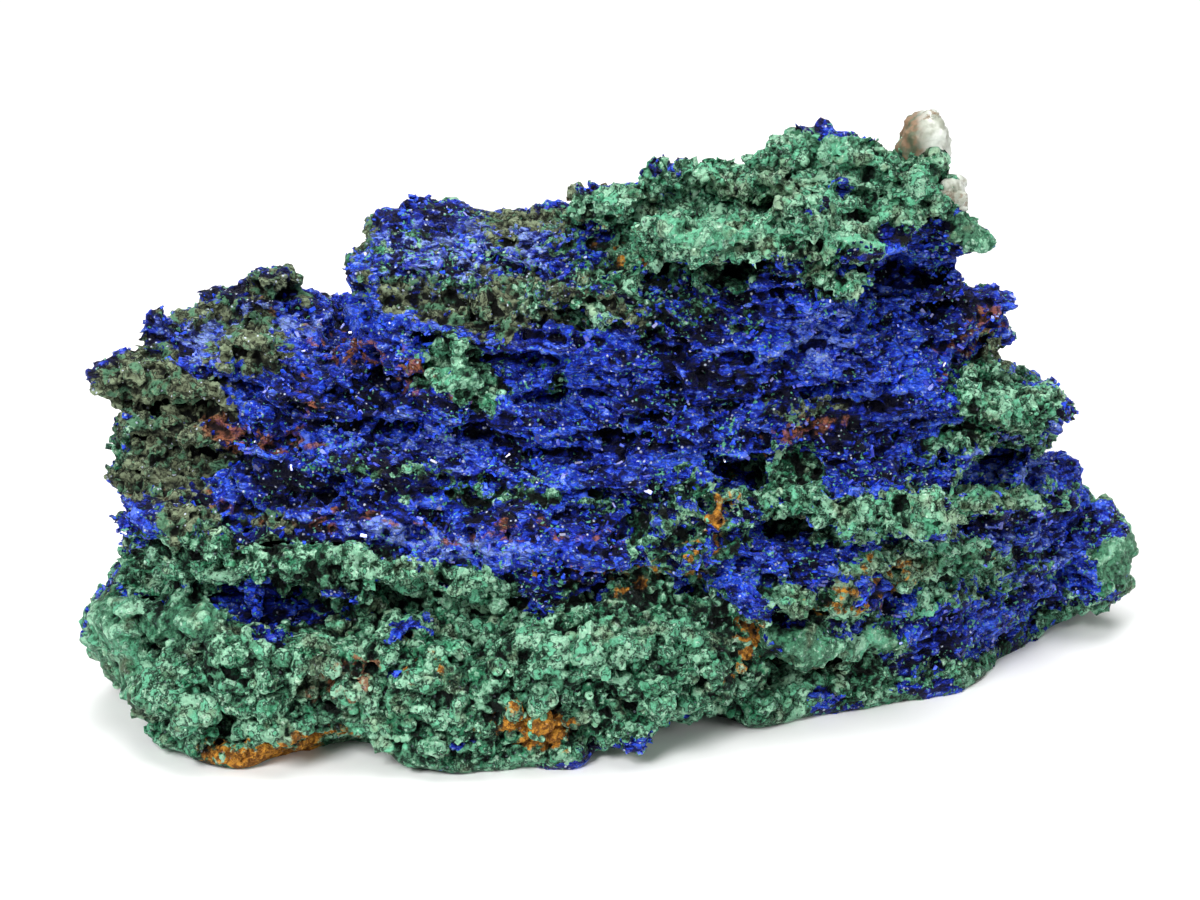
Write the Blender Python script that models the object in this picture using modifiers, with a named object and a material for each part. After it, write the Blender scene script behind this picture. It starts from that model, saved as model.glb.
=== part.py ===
"""Cabinet specimen of azurite with malachite, limonite and a little milky quartz.

One grown-together solid.  A stack of tilted beds gives its ledges and overhangs, rounded
lumps give the malachite mounds, the cap and the quartz knobs, and ragged recesses are cut
between them.  Broken strata, blocky crystal crust and botryoidal lumps are then displaced
over the whole, and the foot is flat so that it stands.

Units are metres, +Z is up, +X runs along the length, -Y is the show face.  The origin is
under the middle of the bounding box, on the flat foot.
"""

import math
import random

import bmesh
import bpy
import numpy as np
from mathutils import Matrix, Vector
from mathutils.bvhtree import BVHTree

MM = 0.001

# Bedding: every bed falls this much towards +X and rises this much towards +Y.
DIP_RIGHT = 0.07
DIP_BACK = 0.10

# Where each bed's front lip is given, along the length (mm).
STATIONS = (-60, -50, -40, -28, -16, -4, 8, 16, 28, 40, 50, 60)

# name, lower and upper level, left end, right end, back edge, front lip at the stations (mm).
# A level is the height of the bedding plane above the origin of the stack.
BEDS = (
    ("foot", -9, 5.0, -53, 58.5, 23,
     (-10, -21, -32.5, -28, -34, -30.5, -20.5, -22.5, -19, -15, -1, 11)),
    ("base", 4.0, 11.0, -58.5, 61.5, 24,
     (-13, -26.5, -34, -31, -35, -32.5, -25, -24.5, -18, -14, -1, 8)),
    ("base_top", 10.0, 15.5, -57, 60, 24,
     (-15, -26, -32, -33, -32, -33, -30.5, -26, -21, -15, -4, 6)),
    ("gap", 15.0, 19.0, -52, 57, 22,
     (-16, -22, -26.5, -26, -25.5, -28, -29, -23, -18, -11, -1, 7)),
    ("green_ledge", 18.2, 24.0, -54, 55, 22,
     (-19, -27.5, -30, -31, -31, -29, -28, -24.5, -21.5, -14.5, -3, 6)),
    ("blue_band", 23.5, 29.0, -49.5, 53, 21,
     (-15, -18, -25, -27.5, -28.5, -30, -27.5, -22.5, -17, -9, 0, 6)),
    ("second_lobe", 26.0, 33.0, -56.5, 53, 20,
     (-14, -18, -22, -24, -24.5, -24.5, -24, -21.5, -19, -10.5, -2, 4)),
    ("notch", 32.5, 36.0, -52, 50, 19,
     (-12, -13, -17, -21, -21.5, -21, -20, -18, -16, -8.5, -1, 4)),
    ("shelf", 35.5, 37.8, -56.5, 46.5, 18,
     (-10, -13.5, -17, -19.5, -20, -20, -19, -18, -15.5, -10, -3, 2)),
    ("block_low", 38.0, 45.5, -30.5, 46, 16,
     (-9, -9, -9, -14, -17.5, -18, -17.5, -17, -14, -7, 0, 2)),
    ("block_mid", 44.5, 49.5, -29.5, 41, 14,
     (-9, -9, -9, -11, -14, -15.5, -15.5, -15, -12.5, -6, 0, 2)),
    ("block_top", 49.0, 51.2, -27, 38.5, 11,
     (-7, -7, -7, -7, -11, -13, -13, -12.5, -10, -4, 0, 2)),
    ("cap_neck", 51.5, 55.0, -2, 37, 9,
     (-3, -3, -3, -3, -4, -7, -9, -9.5, -8, -4, 0, 2)),
    ("cap", 53.8, 57.6, -5.5, 38.2, 8,
     (-6, -6, -6, -6, -7, -10.5, -15.5, -17, -15, -9, -4, 0)),
    ("cap_crest", 57.0, 61.2, 6, 37, 7,
     (-4, -4, -4, -4, -4, -4, -6.5, -9.5, -9, -5, -2, 0)),
)

# Rounded masses fused on: name, centre, half sizes (mm).
LUMPS = (
    ("left_foot_mound", (-50.5, -16, 9), (8.5, 11, 8)),
    ("left_corner_mound", (-43, -27.5, 6.5), (7.5, 7, 7)),
    ("front_mound_a", (-17, -31.5, 6), (10, 5, 6.5)),
    ("front_mound_b", (-1, -29.5, 9), (11, 5.5, 6.5)),
    ("front_mound_c", (8, -25, 7.5), (7, 5, 3.5)),
    ("shelf_lip_lump", (-39.5, -11.5, 40), (5, 3.6, 3.2)),
    ("far_lobe", (-40, 8, 40), (5, 6, 3.4)),
    ("second_lobe_front", (-50, -15, 28), (7.5, 6, 4.6)),
    ("saddle", (-9, -3, 50.6), (7, 6, 3)),
    ("block_left_top", (-21, -4, 49.6), (6.5, 6, 3.4)),
    ("block_left_shoulder", (-27, -8, 47), (4.5, 5, 4.5)),
    ("olive_lump", (-17.5, -19, 38.5), (5, 3, 3.6)),
    ("cap_left_knuckle", (-0.5, -5, 56), (4, 5, 2.2)),
    ("cap_peak", (24, 0, 60.4), (9, 5, 3)),
    ("cap_right", (33.5, -4, 55.5), (6, 6, 5)),
    ("cap_right_lobe", (39.8, -2, 50.2), (3.1, 4, 2.6)),
    ("under_cap_lump", (24.5, -14, 50), (4, 2.6, 4)),
    ("right_block", (40, 0, 41), (6, 7, 5.5)),
    ("right_shoulder", (46.5, -3, 31.2), (5.5, 7, 4)),
    ("right_shoulder_front", (39, -10, 33), (5, 3.5, 3.6)),
    ("right_ledge_row", (30, -20.5, 25.2), (11, 4, 3)),
    ("right_ledge_low", (37, -15.5, 17.8), (9, 5, 2.8)),
    ("blue_nose", (16.5, -24, 18.5), (5.5, 4, 4.6)),
    ("right_tip", (57.5, 6, 7.5), (5, 8, 6)),
    ("flank_mound", (22, -21, 10), (6, 4, 3.4)),
)

# Masses that keep their smooth form, fused on after the crust is broken up (mm).
LATE_LUMPS = (
    ("quartz_knob", (35.0, 1, 59.6), (2.9, 3.1, 4.6)),
    ("quartz_knob_small", (37.9, -2, 55.6), (1.8, 2.4, 2.8)),
    ("shelf_tip", (-54, -10.5, 37.2), (4.2, 5, 2)),
    ("shelf_peak", (-51.5, -3, 41.2), (2.4, 3, 1.8)),
    ("cap_blue_knob", (24, 0.5, 62.3), (2.4, 2.2, 1.5)),
    ("cap_blue_knob_left", (3.5, -4.5, 57.8), (2.2, 2, 1.4)),
    ("second_lobe_tip", (-54.2, -13, 29.3), (3.2, 4, 2.4)),
    ("far_lobe_top", (-39.5, 8, 42.6), (3, 3.4, 2)),
    ("right_block_corner", (43.6, 0, 41), (3.6, 4, 3.4)),
    ("right_shoulder_corner", (50, -1, 30.6), (3.4, 4.4, 3)),
    ("right_tip_edge", (59.2, 6.5, 8.5), (3.6, 5, 6)),
    ("left_foot_botryoid", (-55.5, -14, 7.5), (3.8, 6, 6)),
    ("left_foot_botryoid_low", (-47.5, -27, 4), (4.5, 5, 4)),
    ("foot_front_lump", (-40.5, -31, 2.2), (4, 3.4, 3)),
)

# Ragged hollows: name, centre, half sizes (mm).
RECESSES = (
    ("under_cap", (13, -14, 52), (16, 5, 1.7)),
    ("cap_corner_hollow", (35, -9.5, 48.5), (5.5, 5.5, 3.2)),
    ("under_ledge", (-22, -31.5, 16.4), (19, 5.5, 2)),
    ("shelf_crevice", (-30, -18.5, 38.5), (8, 5, 1.8)),
    ("shelf_underside", (-47, -18, 34.6), (7, 6, 1.6)),
    ("face_hollow", (2, -25, 34), (12, 4.2, 2.2)),
    ("face_crack", (-22, -27, 30.5), (10, 4, 1.1)),
    ("left_recess", (-48, -21, 23.6), (5, 4, 1.6)),
    ("flank_hollow_high", (19, -21.5, 29.5), (8, 5, 1.8)),
    ("flank_hollow_mid", (35, -17, 21.5), (9, 5, 1.5)),
    ("flank_cave", (22, -23, 6.2), (7, 6, 1.8)),
    ("flank_hollow_right", (45, -8, 24.5), (7, 6, 2)),
    ("foot_pit_left", (-44, -35, 8), (2.6, 4, 2)),
    ("foot_pit_front", (-29, -35, 3), (3.5, 4.5, 2.6)),
    ("right_tip_groove", (54, -2, 11.5), (6, 5, 1.2)),
)

# Malachite botryoids over the lower front: how many, their half sizes, the heights that
# they grow at (mm) and the bearings that they face, from the left end to the front (degrees).
BOTRYOID_COUNT = 110
BOTRYOID_SIZE = (1.5, 3.2)
BOTRYOID_HEIGHTS = (1.0, 15.0)
BOTRYOID_BEARINGS = (-160.0, -55.0)
BOTRYOID_HUB = (-14.0, -4.0)
BOTRYOID_SWEEP = 26.0
BOTRYOID_SEED = 11
CAST_DISTANCE = 90.0

# Bed outlines: how close a station may come to a bed's end, how far the end stands back
# behind the lip (mm), and the arc round the back.
END_GAP = 2.0
END_SETBACK = 3.0
BACK_ARC_POINTS = 14
BACK_SQUARENESS = 0.55
VOXEL = 1.15 * MM
MERGE_DISTANCE = 0.01 * MM
FOOT_BLOCK_SIDE = 200 * MM

# Thinning: the faces to keep, and where the back begins and is fully back (mm).  The back is
# weighted so that most of the faces stay on the show face.
TRIANGLES = 11200
REAR_START = -6.0
REAR_FULL = 8.0
SHOW_FACE_WEIGHT = 0.25
WEIGHT_FACTOR = 0.0006

# Relief: noise sizes along and across the bedding, and how far each one moves the skin (mm).
BROAD_SIZE = 15.0
BROAD_THICKNESS = 10.5
BROAD_STRENGTH = 3.4
STRATA_LENGTH = 17.0
STRATA_THICKNESS = 4.2
STRATA_STRENGTH = 4.6
STRATA_MIDDLE = 0.36
BLOCK_SIZE = 6.5
BLOCK_THICKNESS = 3.6
BLOCK_STRENGTH = 2.4


def clear_scene():
    """Remove whatever the file already holds."""
    for item in list(bpy.data.objects):
        bpy.data.objects.remove(item, do_unlink=True)


def new_collection(name):
    """Make a collection under the scene."""
    group = bpy.data.collections.new(name)
    bpy.context.scene.collection.children.link(group)
    return group


def bedding_matrix():
    """The shear that tilts level slabs into the dipping beds."""
    tilt = Matrix.Identity(4)
    tilt[2][0] = -DIP_RIGHT
    tilt[2][1] = DIP_BACK
    return tilt


def bed_outline(left, right, back, lips):
    """Closed plan outline of a bed: its measured front lip and a rounded back."""
    inner = [(x, y) for x, y in zip(STATIONS, lips) if left + END_GAP < x < right - END_GAP]
    left_y = float(np.interp(left, STATIONS, lips)) + END_SETBACK
    right_y = float(np.interp(right, STATIONS, lips)) + END_SETBACK
    front = [(left, left_y)] + inner + [(right, right_y)]
    middle = (left + right) / 2
    half = (right - left) / 2
    rear = []
    for step in range(1, BACK_ARC_POINTS):
        angle = math.pi * step / BACK_ARC_POINTS
        x = middle + half * math.cos(angle)
        ends = left_y + (right_y - left_y) * (x - left) / (right - left)
        rear.append((x, ends + (back - ends) * math.sin(angle) ** BACK_SQUARENESS))
    return front + rear


def as_mesh(curve_object, collection):
    """Turn a filled curve into a closed mesh object and drop the curve."""
    bpy.context.view_layer.update()
    graph = bpy.context.evaluated_depsgraph_get()
    mesh = bpy.data.meshes.new_from_object(curve_object.evaluated_get(graph))
    shell = bmesh.new()
    shell.from_mesh(mesh)
    bmesh.ops.remove_doubles(shell, verts=shell.verts, dist=MERGE_DISTANCE)
    bmesh.ops.recalc_face_normals(shell, faces=shell.faces)
    shell.to_mesh(mesh)
    shell.free()
    solid = bpy.data.objects.new(curve_object.name + "_slab", mesh)
    solid.matrix_world = curve_object.matrix_world
    collection.objects.link(solid)
    bpy.data.objects.remove(curve_object, do_unlink=True)
    return solid


def make_bed(bed, collection):
    """One bed as an extruded slab, sheared into the dip of the bedding."""
    name, low, high, left, right, back, lips = bed
    outline = bed_outline(left, right, back, lips)
    curve = bpy.data.curves.new(name, "CURVE")
    curve.dimensions = "2D"
    curve.fill_mode = "BOTH"
    curve.extrude = (high - low) / 2 * MM
    spline = curve.splines.new("POLY")
    spline.points.add(len(outline) - 1)
    for point, (x, y) in zip(spline.points, outline):
        point.co = (x * MM, y * MM, 0.0, 1.0)
    spline.use_cyclic_u = True
    holder = bpy.data.objects.new(name, curve)
    holder.location.z = (low + high) / 2 * MM
    collection.objects.link(holder)
    slab = as_mesh(holder, collection)
    slab.data.transform(slab.matrix_world)
    slab.matrix_world = Matrix.Identity(4)
    slab.data.transform(bedding_matrix())
    return slab


def make_ball(name, centre, halves, collection, detail=3):
    """An ellipsoid given by its centre and half sizes in millimetres."""
    mesh = bpy.data.meshes.new(name)
    ball = bmesh.new()
    bmesh.ops.create_icosphere(ball, subdivisions=detail, radius=1.0)
    ball.to_mesh(mesh)
    ball.free()
    mesh.transform(Matrix.Diagonal((*[half * MM for half in halves], 1.0)))
    mesh.transform(Matrix.Translation(Vector(centre) * MM))
    item = bpy.data.objects.new(name, mesh)
    collection.objects.link(item)
    return item


def make_botryoids(skin, collection):
    """Small malachite mounds that bud where a line towards the hub meets the skin."""
    rng = random.Random(BOTRYOID_SEED)
    tree = BVHTree.FromPolygons(
        [vertex.co.copy() for vertex in skin.data.vertices],
        [tuple(face.vertices) for face in skin.data.polygons],
    )
    buds = []
    for index in range(BOTRYOID_COUNT):
        bearing = math.radians(rng.uniform(*BOTRYOID_BEARINGS))
        height = rng.uniform(*BOTRYOID_HEIGHTS)
        size = rng.uniform(*BOTRYOID_SIZE)
        sweep = rng.uniform(-BOTRYOID_SWEEP, BOTRYOID_SWEEP)
        outward = Vector((math.cos(bearing), math.sin(bearing), 0.0))
        across = Vector((-outward.y, outward.x, 0.0))
        hub = Vector((*BOTRYOID_HUB, height)) + across * sweep
        start = (hub + outward * CAST_DISTANCE) * MM
        hit = tree.ray_cast(start, -outward)[0]
        if hit is None:
            continue
        halves = (size * rng.uniform(0.9, 1.3), size, size * rng.uniform(0.75, 1.0))
        buds.append(make_ball(f"botryoid_{index}", hit / MM, halves, collection, 2))
    return buds


def join(objects, name, collection):
    """Put the meshes of several objects into one object."""
    merged = bmesh.new()
    for item in objects:
        merged.from_mesh(item.data)
    mesh = bpy.data.meshes.new(name)
    merged.to_mesh(mesh)
    merged.free()
    for item in objects:
        bpy.data.objects.remove(item, do_unlink=True)
    whole = bpy.data.objects.new(name, mesh)
    collection.objects.link(whole)
    return whole


def as_cutter(item):
    """Mark a helper that only cuts."""
    item.hide_render = True
    item.display_type = "WIRE"


def guide(name, along, across, collection):
    """An empty whose stretched space lays a texture out along the bedding."""
    empty = bpy.data.objects.new(name, None)
    empty.rotation_euler = (math.atan(DIP_BACK), math.atan(DIP_RIGHT), 0.0)
    empty.scale = (along * MM, along * MM, across * MM)
    empty.hide_render = True
    collection.objects.link(empty)
    return empty


def add_remesh(item, name):
    """Fuse everything into one skin of even quads."""
    skin = item.modifiers.new(name, "REMESH")
    skin.mode = "VOXEL"
    skin.voxel_size = VOXEL
    skin.use_smooth_shade = False


def add_displace(item, name, texture, space, strength, middle=0.5):
    """Push the skin in and out along its normals by a texture."""
    push = item.modifiers.new(name, "DISPLACE")
    push.texture = texture
    push.texture_coords = "OBJECT"
    push.texture_coords_object = space
    push.strength = strength * MM
    push.mid_level = middle


def clouds(name, depth, kind="SOFT_NOISE"):
    """Fractal noise with unit size; hard noise is creased like parted beds."""
    texture = bpy.data.textures.new(name, "CLOUDS")
    texture.noise_scale = 1.0
    texture.noise_depth = depth
    texture.noise_type = kind
    return texture


def cells(name):
    """Cell noise that reads as blocky broken crust."""
    texture = bpy.data.textures.new(name, "VORONOI")
    texture.noise_scale = 1.0
    texture.distance_metric = "DISTANCE"
    texture.color_mode = "INTENSITY"
    texture.weight_1 = -1.0
    texture.weight_2 = 1.0
    return texture


def as_evaluated(item, name, collection):
    """Replace an object by the plain mesh that its modifiers make."""
    bpy.context.view_layer.update()
    graph = bpy.context.evaluated_depsgraph_get()
    mesh = bpy.data.meshes.new_from_object(item.evaluated_get(graph))
    bpy.data.objects.remove(item, do_unlink=True)
    result = bpy.data.objects.new(name, mesh)
    collection.objects.link(result)
    return result


def drop_loose_crumbs(item):
    """Keep only the biggest connected body of a mesh."""
    body = bmesh.new()
    body.from_mesh(item.data)
    unseen = set(body.verts)
    islands = []
    while unseen:
        front = [unseen.pop()]
        island = set(front)
        while front:
            vertex = front.pop()
            near = {edge.other_vert(vertex) for edge in vertex.link_edges} - island
            island |= near
            front.extend(near)
        unseen -= island
        islands.append(island)
    keep = max(islands, key=len)
    crumbs = [vertex for vertex in body.verts if vertex not in keep]
    bmesh.ops.delete(body, geom=crumbs, context="VERTS")
    body.to_mesh(item.data)
    body.free()


def favour_show_face(item):
    """Weight the back so that most of the faces stay on the show face."""
    rear = item.vertex_groups.new(name="rear")
    for vertex in item.data.vertices:
        depth = (vertex.co.y / MM - REAR_START) / (REAR_FULL - REAR_START)
        share = min(max(depth, 0.0), 1.0)
        rear.add([vertex.index], SHOW_FACE_WEIGHT + (1 - SHOW_FACE_WEIGHT) * share, "REPLACE")


def make_material():
    """Deep azurite blue, the colour that carries the specimen."""
    material = bpy.data.materials.new("azurite_blue")
    material.use_nodes = True
    shader = material.node_tree.nodes["Principled BSDF"]
    shader.inputs["Base Color"].default_value = (0.022, 0.045, 0.36, 1.0)
    shader.inputs["Roughness"].default_value = 0.55
    shader.inputs["Metallic"].default_value = 0.0
    return material


def stand_on_origin(mesh):
    """Shift a mesh so that the middle of its box is over the origin and its foot is at zero."""
    low = [min(vertex.co[axis] for vertex in mesh.vertices) for axis in range(3)]
    high = [max(vertex.co[axis] for vertex in mesh.vertices) for axis in range(3)]
    shift = Vector((-(low[0] + high[0]) / 2, -(low[1] + high[1]) / 2, -low[2]))
    mesh.transform(Matrix.Translation(shift))
    return shift


def make_recess_cutter(helpers):
    """All the ragged hollows as one closed cutter."""
    hollows = [make_ball(*recess, helpers) for recess in RECESSES]
    cutter = join(hollows, "recess_cutter", helpers)
    add_remesh(cutter, "fuse")
    as_cutter(cutter)
    return cutter


def make_foot_cutter(helpers):
    """A block whose top face is the plane that the specimen stands on."""
    bpy.ops.mesh.primitive_cube_add(size=FOOT_BLOCK_SIDE, location=(0, 0, -FOOT_BLOCK_SIDE / 2))
    cutter = bpy.context.object
    cutter.name = "foot_cutter"
    for owner in list(cutter.users_collection):
        owner.objects.unlink(cutter)
    helpers.objects.link(cutter)
    as_cutter(cutter)
    return cutter


def stack_beds(specimen, helpers):
    """Fuse beds and lumps, cut the hollows and break the skin up along the bedding."""
    beds = [make_bed(bed, specimen) for bed in BEDS]
    lumps = [make_ball(*lump, specimen) for lump in LUMPS]
    rock = join(beds + lumps, "bed_stack", specimen)
    add_remesh(rock, "fuse")
    cut = rock.modifiers.new("hollows", "BOOLEAN")
    cut.operation = "DIFFERENCE"
    cut.object = make_recess_cutter(helpers)
    broad = guide("broad_space", BROAD_SIZE, BROAD_THICKNESS, helpers)
    strata = guide("strata_space", STRATA_LENGTH, STRATA_THICKNESS, helpers)
    blocks = guide("block_space", BLOCK_SIZE, BLOCK_THICKNESS, helpers)
    parting = clouds("strata_noise", 2, "HARD_NOISE")
    add_displace(rock, "broad", clouds("broad_noise", 1), broad, BROAD_STRENGTH)
    add_displace(rock, "strata", parting, strata, STRATA_STRENGTH, STRATA_MIDDLE)
    add_displace(rock, "blocks", cells("block_noise"), blocks, BLOCK_STRENGTH)
    return as_evaluated(rock, "broken_crust", specimen)


def grow_masses(crust, specimen):
    """Fuse on the masses that keep their smooth form, and the botryoids."""
    late = [make_ball(*lump, specimen) for lump in LATE_LUMPS]
    buds = make_botryoids(crust, specimen)
    grown = join([crust] + late + buds, "grown_mass", specimen)
    add_remesh(grown, "skin")
    skin = as_evaluated(grown, "skin", specimen)
    drop_loose_crumbs(skin)
    return skin


def thin_and_level(skin, specimen, helpers):
    """Thin the skin to its faces and cut the flat foot."""
    favour_show_face(skin)
    thin = skin.modifiers.new("thin", "DECIMATE")
    thin.use_collapse_triangulate = True
    thin.vertex_group = "rear"
    thin.vertex_group_factor = WEIGHT_FACTOR
    thin.ratio = TRIANGLES / sum(len(face.vertices) - 2 for face in skin.data.polygons)
    level = skin.modifiers.new("foot", "BOOLEAN")
    level.operation = "DIFFERENCE"
    level.object = make_foot_cutter(helpers)
    finished = as_evaluated(skin, "finished", specimen)
    drop_loose_crumbs(finished)
    return finished


def main():
    """Build the specimen as one solid standing on its foot over the origin."""
    clear_scene()
    specimen = new_collection("azurite_specimen")
    helpers = new_collection("cutters_and_guides")
    crust = stack_beds(specimen, helpers)
    skin = grow_masses(crust, specimen)
    finished = thin_and_level(skin, specimen, helpers)
    finished.name = "azurite_specimen"
    finished["stack_origin_m"] = stand_on_origin(finished.data)
    finished.data.materials.clear()
    finished.data.materials.append(make_material())


main()
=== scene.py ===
"""Finished look of the azurite specimen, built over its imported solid.

The solid's skin is taken over as one mesh.  Its beds are broken into thin ragged plates, the
minerals are laid out over it, and each mineral grows its own surface: blocky azurite, lumpy
malachite, granular olive crust, earthy limonite.  The grown skin is cut into flat-lying beds,
and malachite beads, small azurite crystals and two milky quartz knobs are set on it.

Lengths are metres in the panel and in the trees, and millimetres in the layout tables.
"""

import math
from collections import namedtuple

import bmesh
import bpy
import numpy as np
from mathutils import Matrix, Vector


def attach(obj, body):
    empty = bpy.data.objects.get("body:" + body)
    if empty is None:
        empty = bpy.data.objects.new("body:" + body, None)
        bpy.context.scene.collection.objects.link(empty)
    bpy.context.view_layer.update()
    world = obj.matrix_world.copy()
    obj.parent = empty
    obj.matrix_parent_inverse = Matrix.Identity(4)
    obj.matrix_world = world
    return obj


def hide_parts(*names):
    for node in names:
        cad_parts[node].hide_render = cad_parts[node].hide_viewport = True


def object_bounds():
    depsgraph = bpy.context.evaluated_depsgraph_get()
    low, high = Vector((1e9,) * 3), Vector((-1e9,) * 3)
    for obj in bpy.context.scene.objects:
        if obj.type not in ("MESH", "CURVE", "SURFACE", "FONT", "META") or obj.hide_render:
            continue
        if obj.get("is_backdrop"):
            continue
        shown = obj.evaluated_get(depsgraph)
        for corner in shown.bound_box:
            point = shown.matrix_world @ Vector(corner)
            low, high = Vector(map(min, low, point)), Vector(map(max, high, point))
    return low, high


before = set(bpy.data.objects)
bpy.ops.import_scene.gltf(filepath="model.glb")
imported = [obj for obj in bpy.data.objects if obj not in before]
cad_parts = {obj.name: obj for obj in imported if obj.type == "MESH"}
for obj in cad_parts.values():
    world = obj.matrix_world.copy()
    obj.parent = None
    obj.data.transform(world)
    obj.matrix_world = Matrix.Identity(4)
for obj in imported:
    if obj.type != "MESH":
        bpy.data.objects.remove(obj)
bpy.context.view_layer.update()
SOLID_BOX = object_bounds()

bl_info = {
    "name": "Azurite Specimen",
    "version": (1, 0, 0),
    "blender": (4, 5, 0),
    "location": "View3D > Sidebar > Specimen",
    "description": "Grows the mineral surface of a bedded azurite and malachite specimen",
    "category": "Object",
}

MM = 0.001
NODE = "azurite_specimen"
BODY = "root"
BAKE_MAP = "OFBake"

# How the specimen is looked at from the front: the layout tables are measured in this view.
VIEW_AIM = Vector((-3.2, 3.75, 25.5)) * MM
VIEW_DROP = math.radians(20)
VIEW_DISTANCE = 330 * MM
VIEW_TOWARDS = (0.0, -math.cos(VIEW_DROP), math.sin(VIEW_DROP))
VIEW_UPWARDS = (0.0, math.sin(VIEW_DROP), math.cos(VIEW_DROP))

# Bedding: every bed falls this much towards +X, rises this much towards +Y, and is bowed, so
# that it falls more steeply on the left and hardly at all on the right (per metre).
DIP_RIGHT = 0.08
DIP_BACK = 0.10
BOW = 1.2

# Heights (m) over which the barely bedded lower mass turns into fully bedded crust.
BEDDED_FROM = (0.010, 0.018)
# Bedding levels (m) over which the lower mass ends and the cap begins.  Both are green behind
# the front, and the lower mass has the rounder lumps all round.
MASS_ENDS = (0.014, 0.020)
CAP_BEGINS = (0.051, 0.056)

# Levels (mm) at which the grown skin is cut into pieces, each under 200,000 triangles.
CUT_LEVELS = (8.0, 15.5, 23.5, 32.0, 42.0)

# Edges sharper than this stay crisp; the bake map breaks where the soft shape turns this much.
SHARP_ANGLE = math.radians(32)
ISLAND_ANGLE = 1.2
ISLAND_MARGIN = 0.001

# Quartz knobs: name, centre and half sizes in mm.
QUARTZ_KNOBS = (
    ("quartz_knob", (33.0, 7.1, 59.9), (2.9, 3.0, 4.2)),
    ("quartz_knob_small", (35.8, 4.2, 55.4), (1.8, 2.3, 2.3)),
)
# Power by which a knob is squared off from a ball: 1 stays round, 0 is a block.
BLUNTNESS = 0.72
# Where the knobs are stained (m): left of an upright line, towards their foot, and on top.
STAIN_LEFT = 0.0307
STAIN_FOOT = (0.058, 0.056)
STAIN_TOP = (0.0650, 0.0660)


# --- Layout of the minerals on the front ---------------------------------------------------

Patch = namedtuple("Patch", "name mineral right up half_length half_height tilt fullness")

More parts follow.
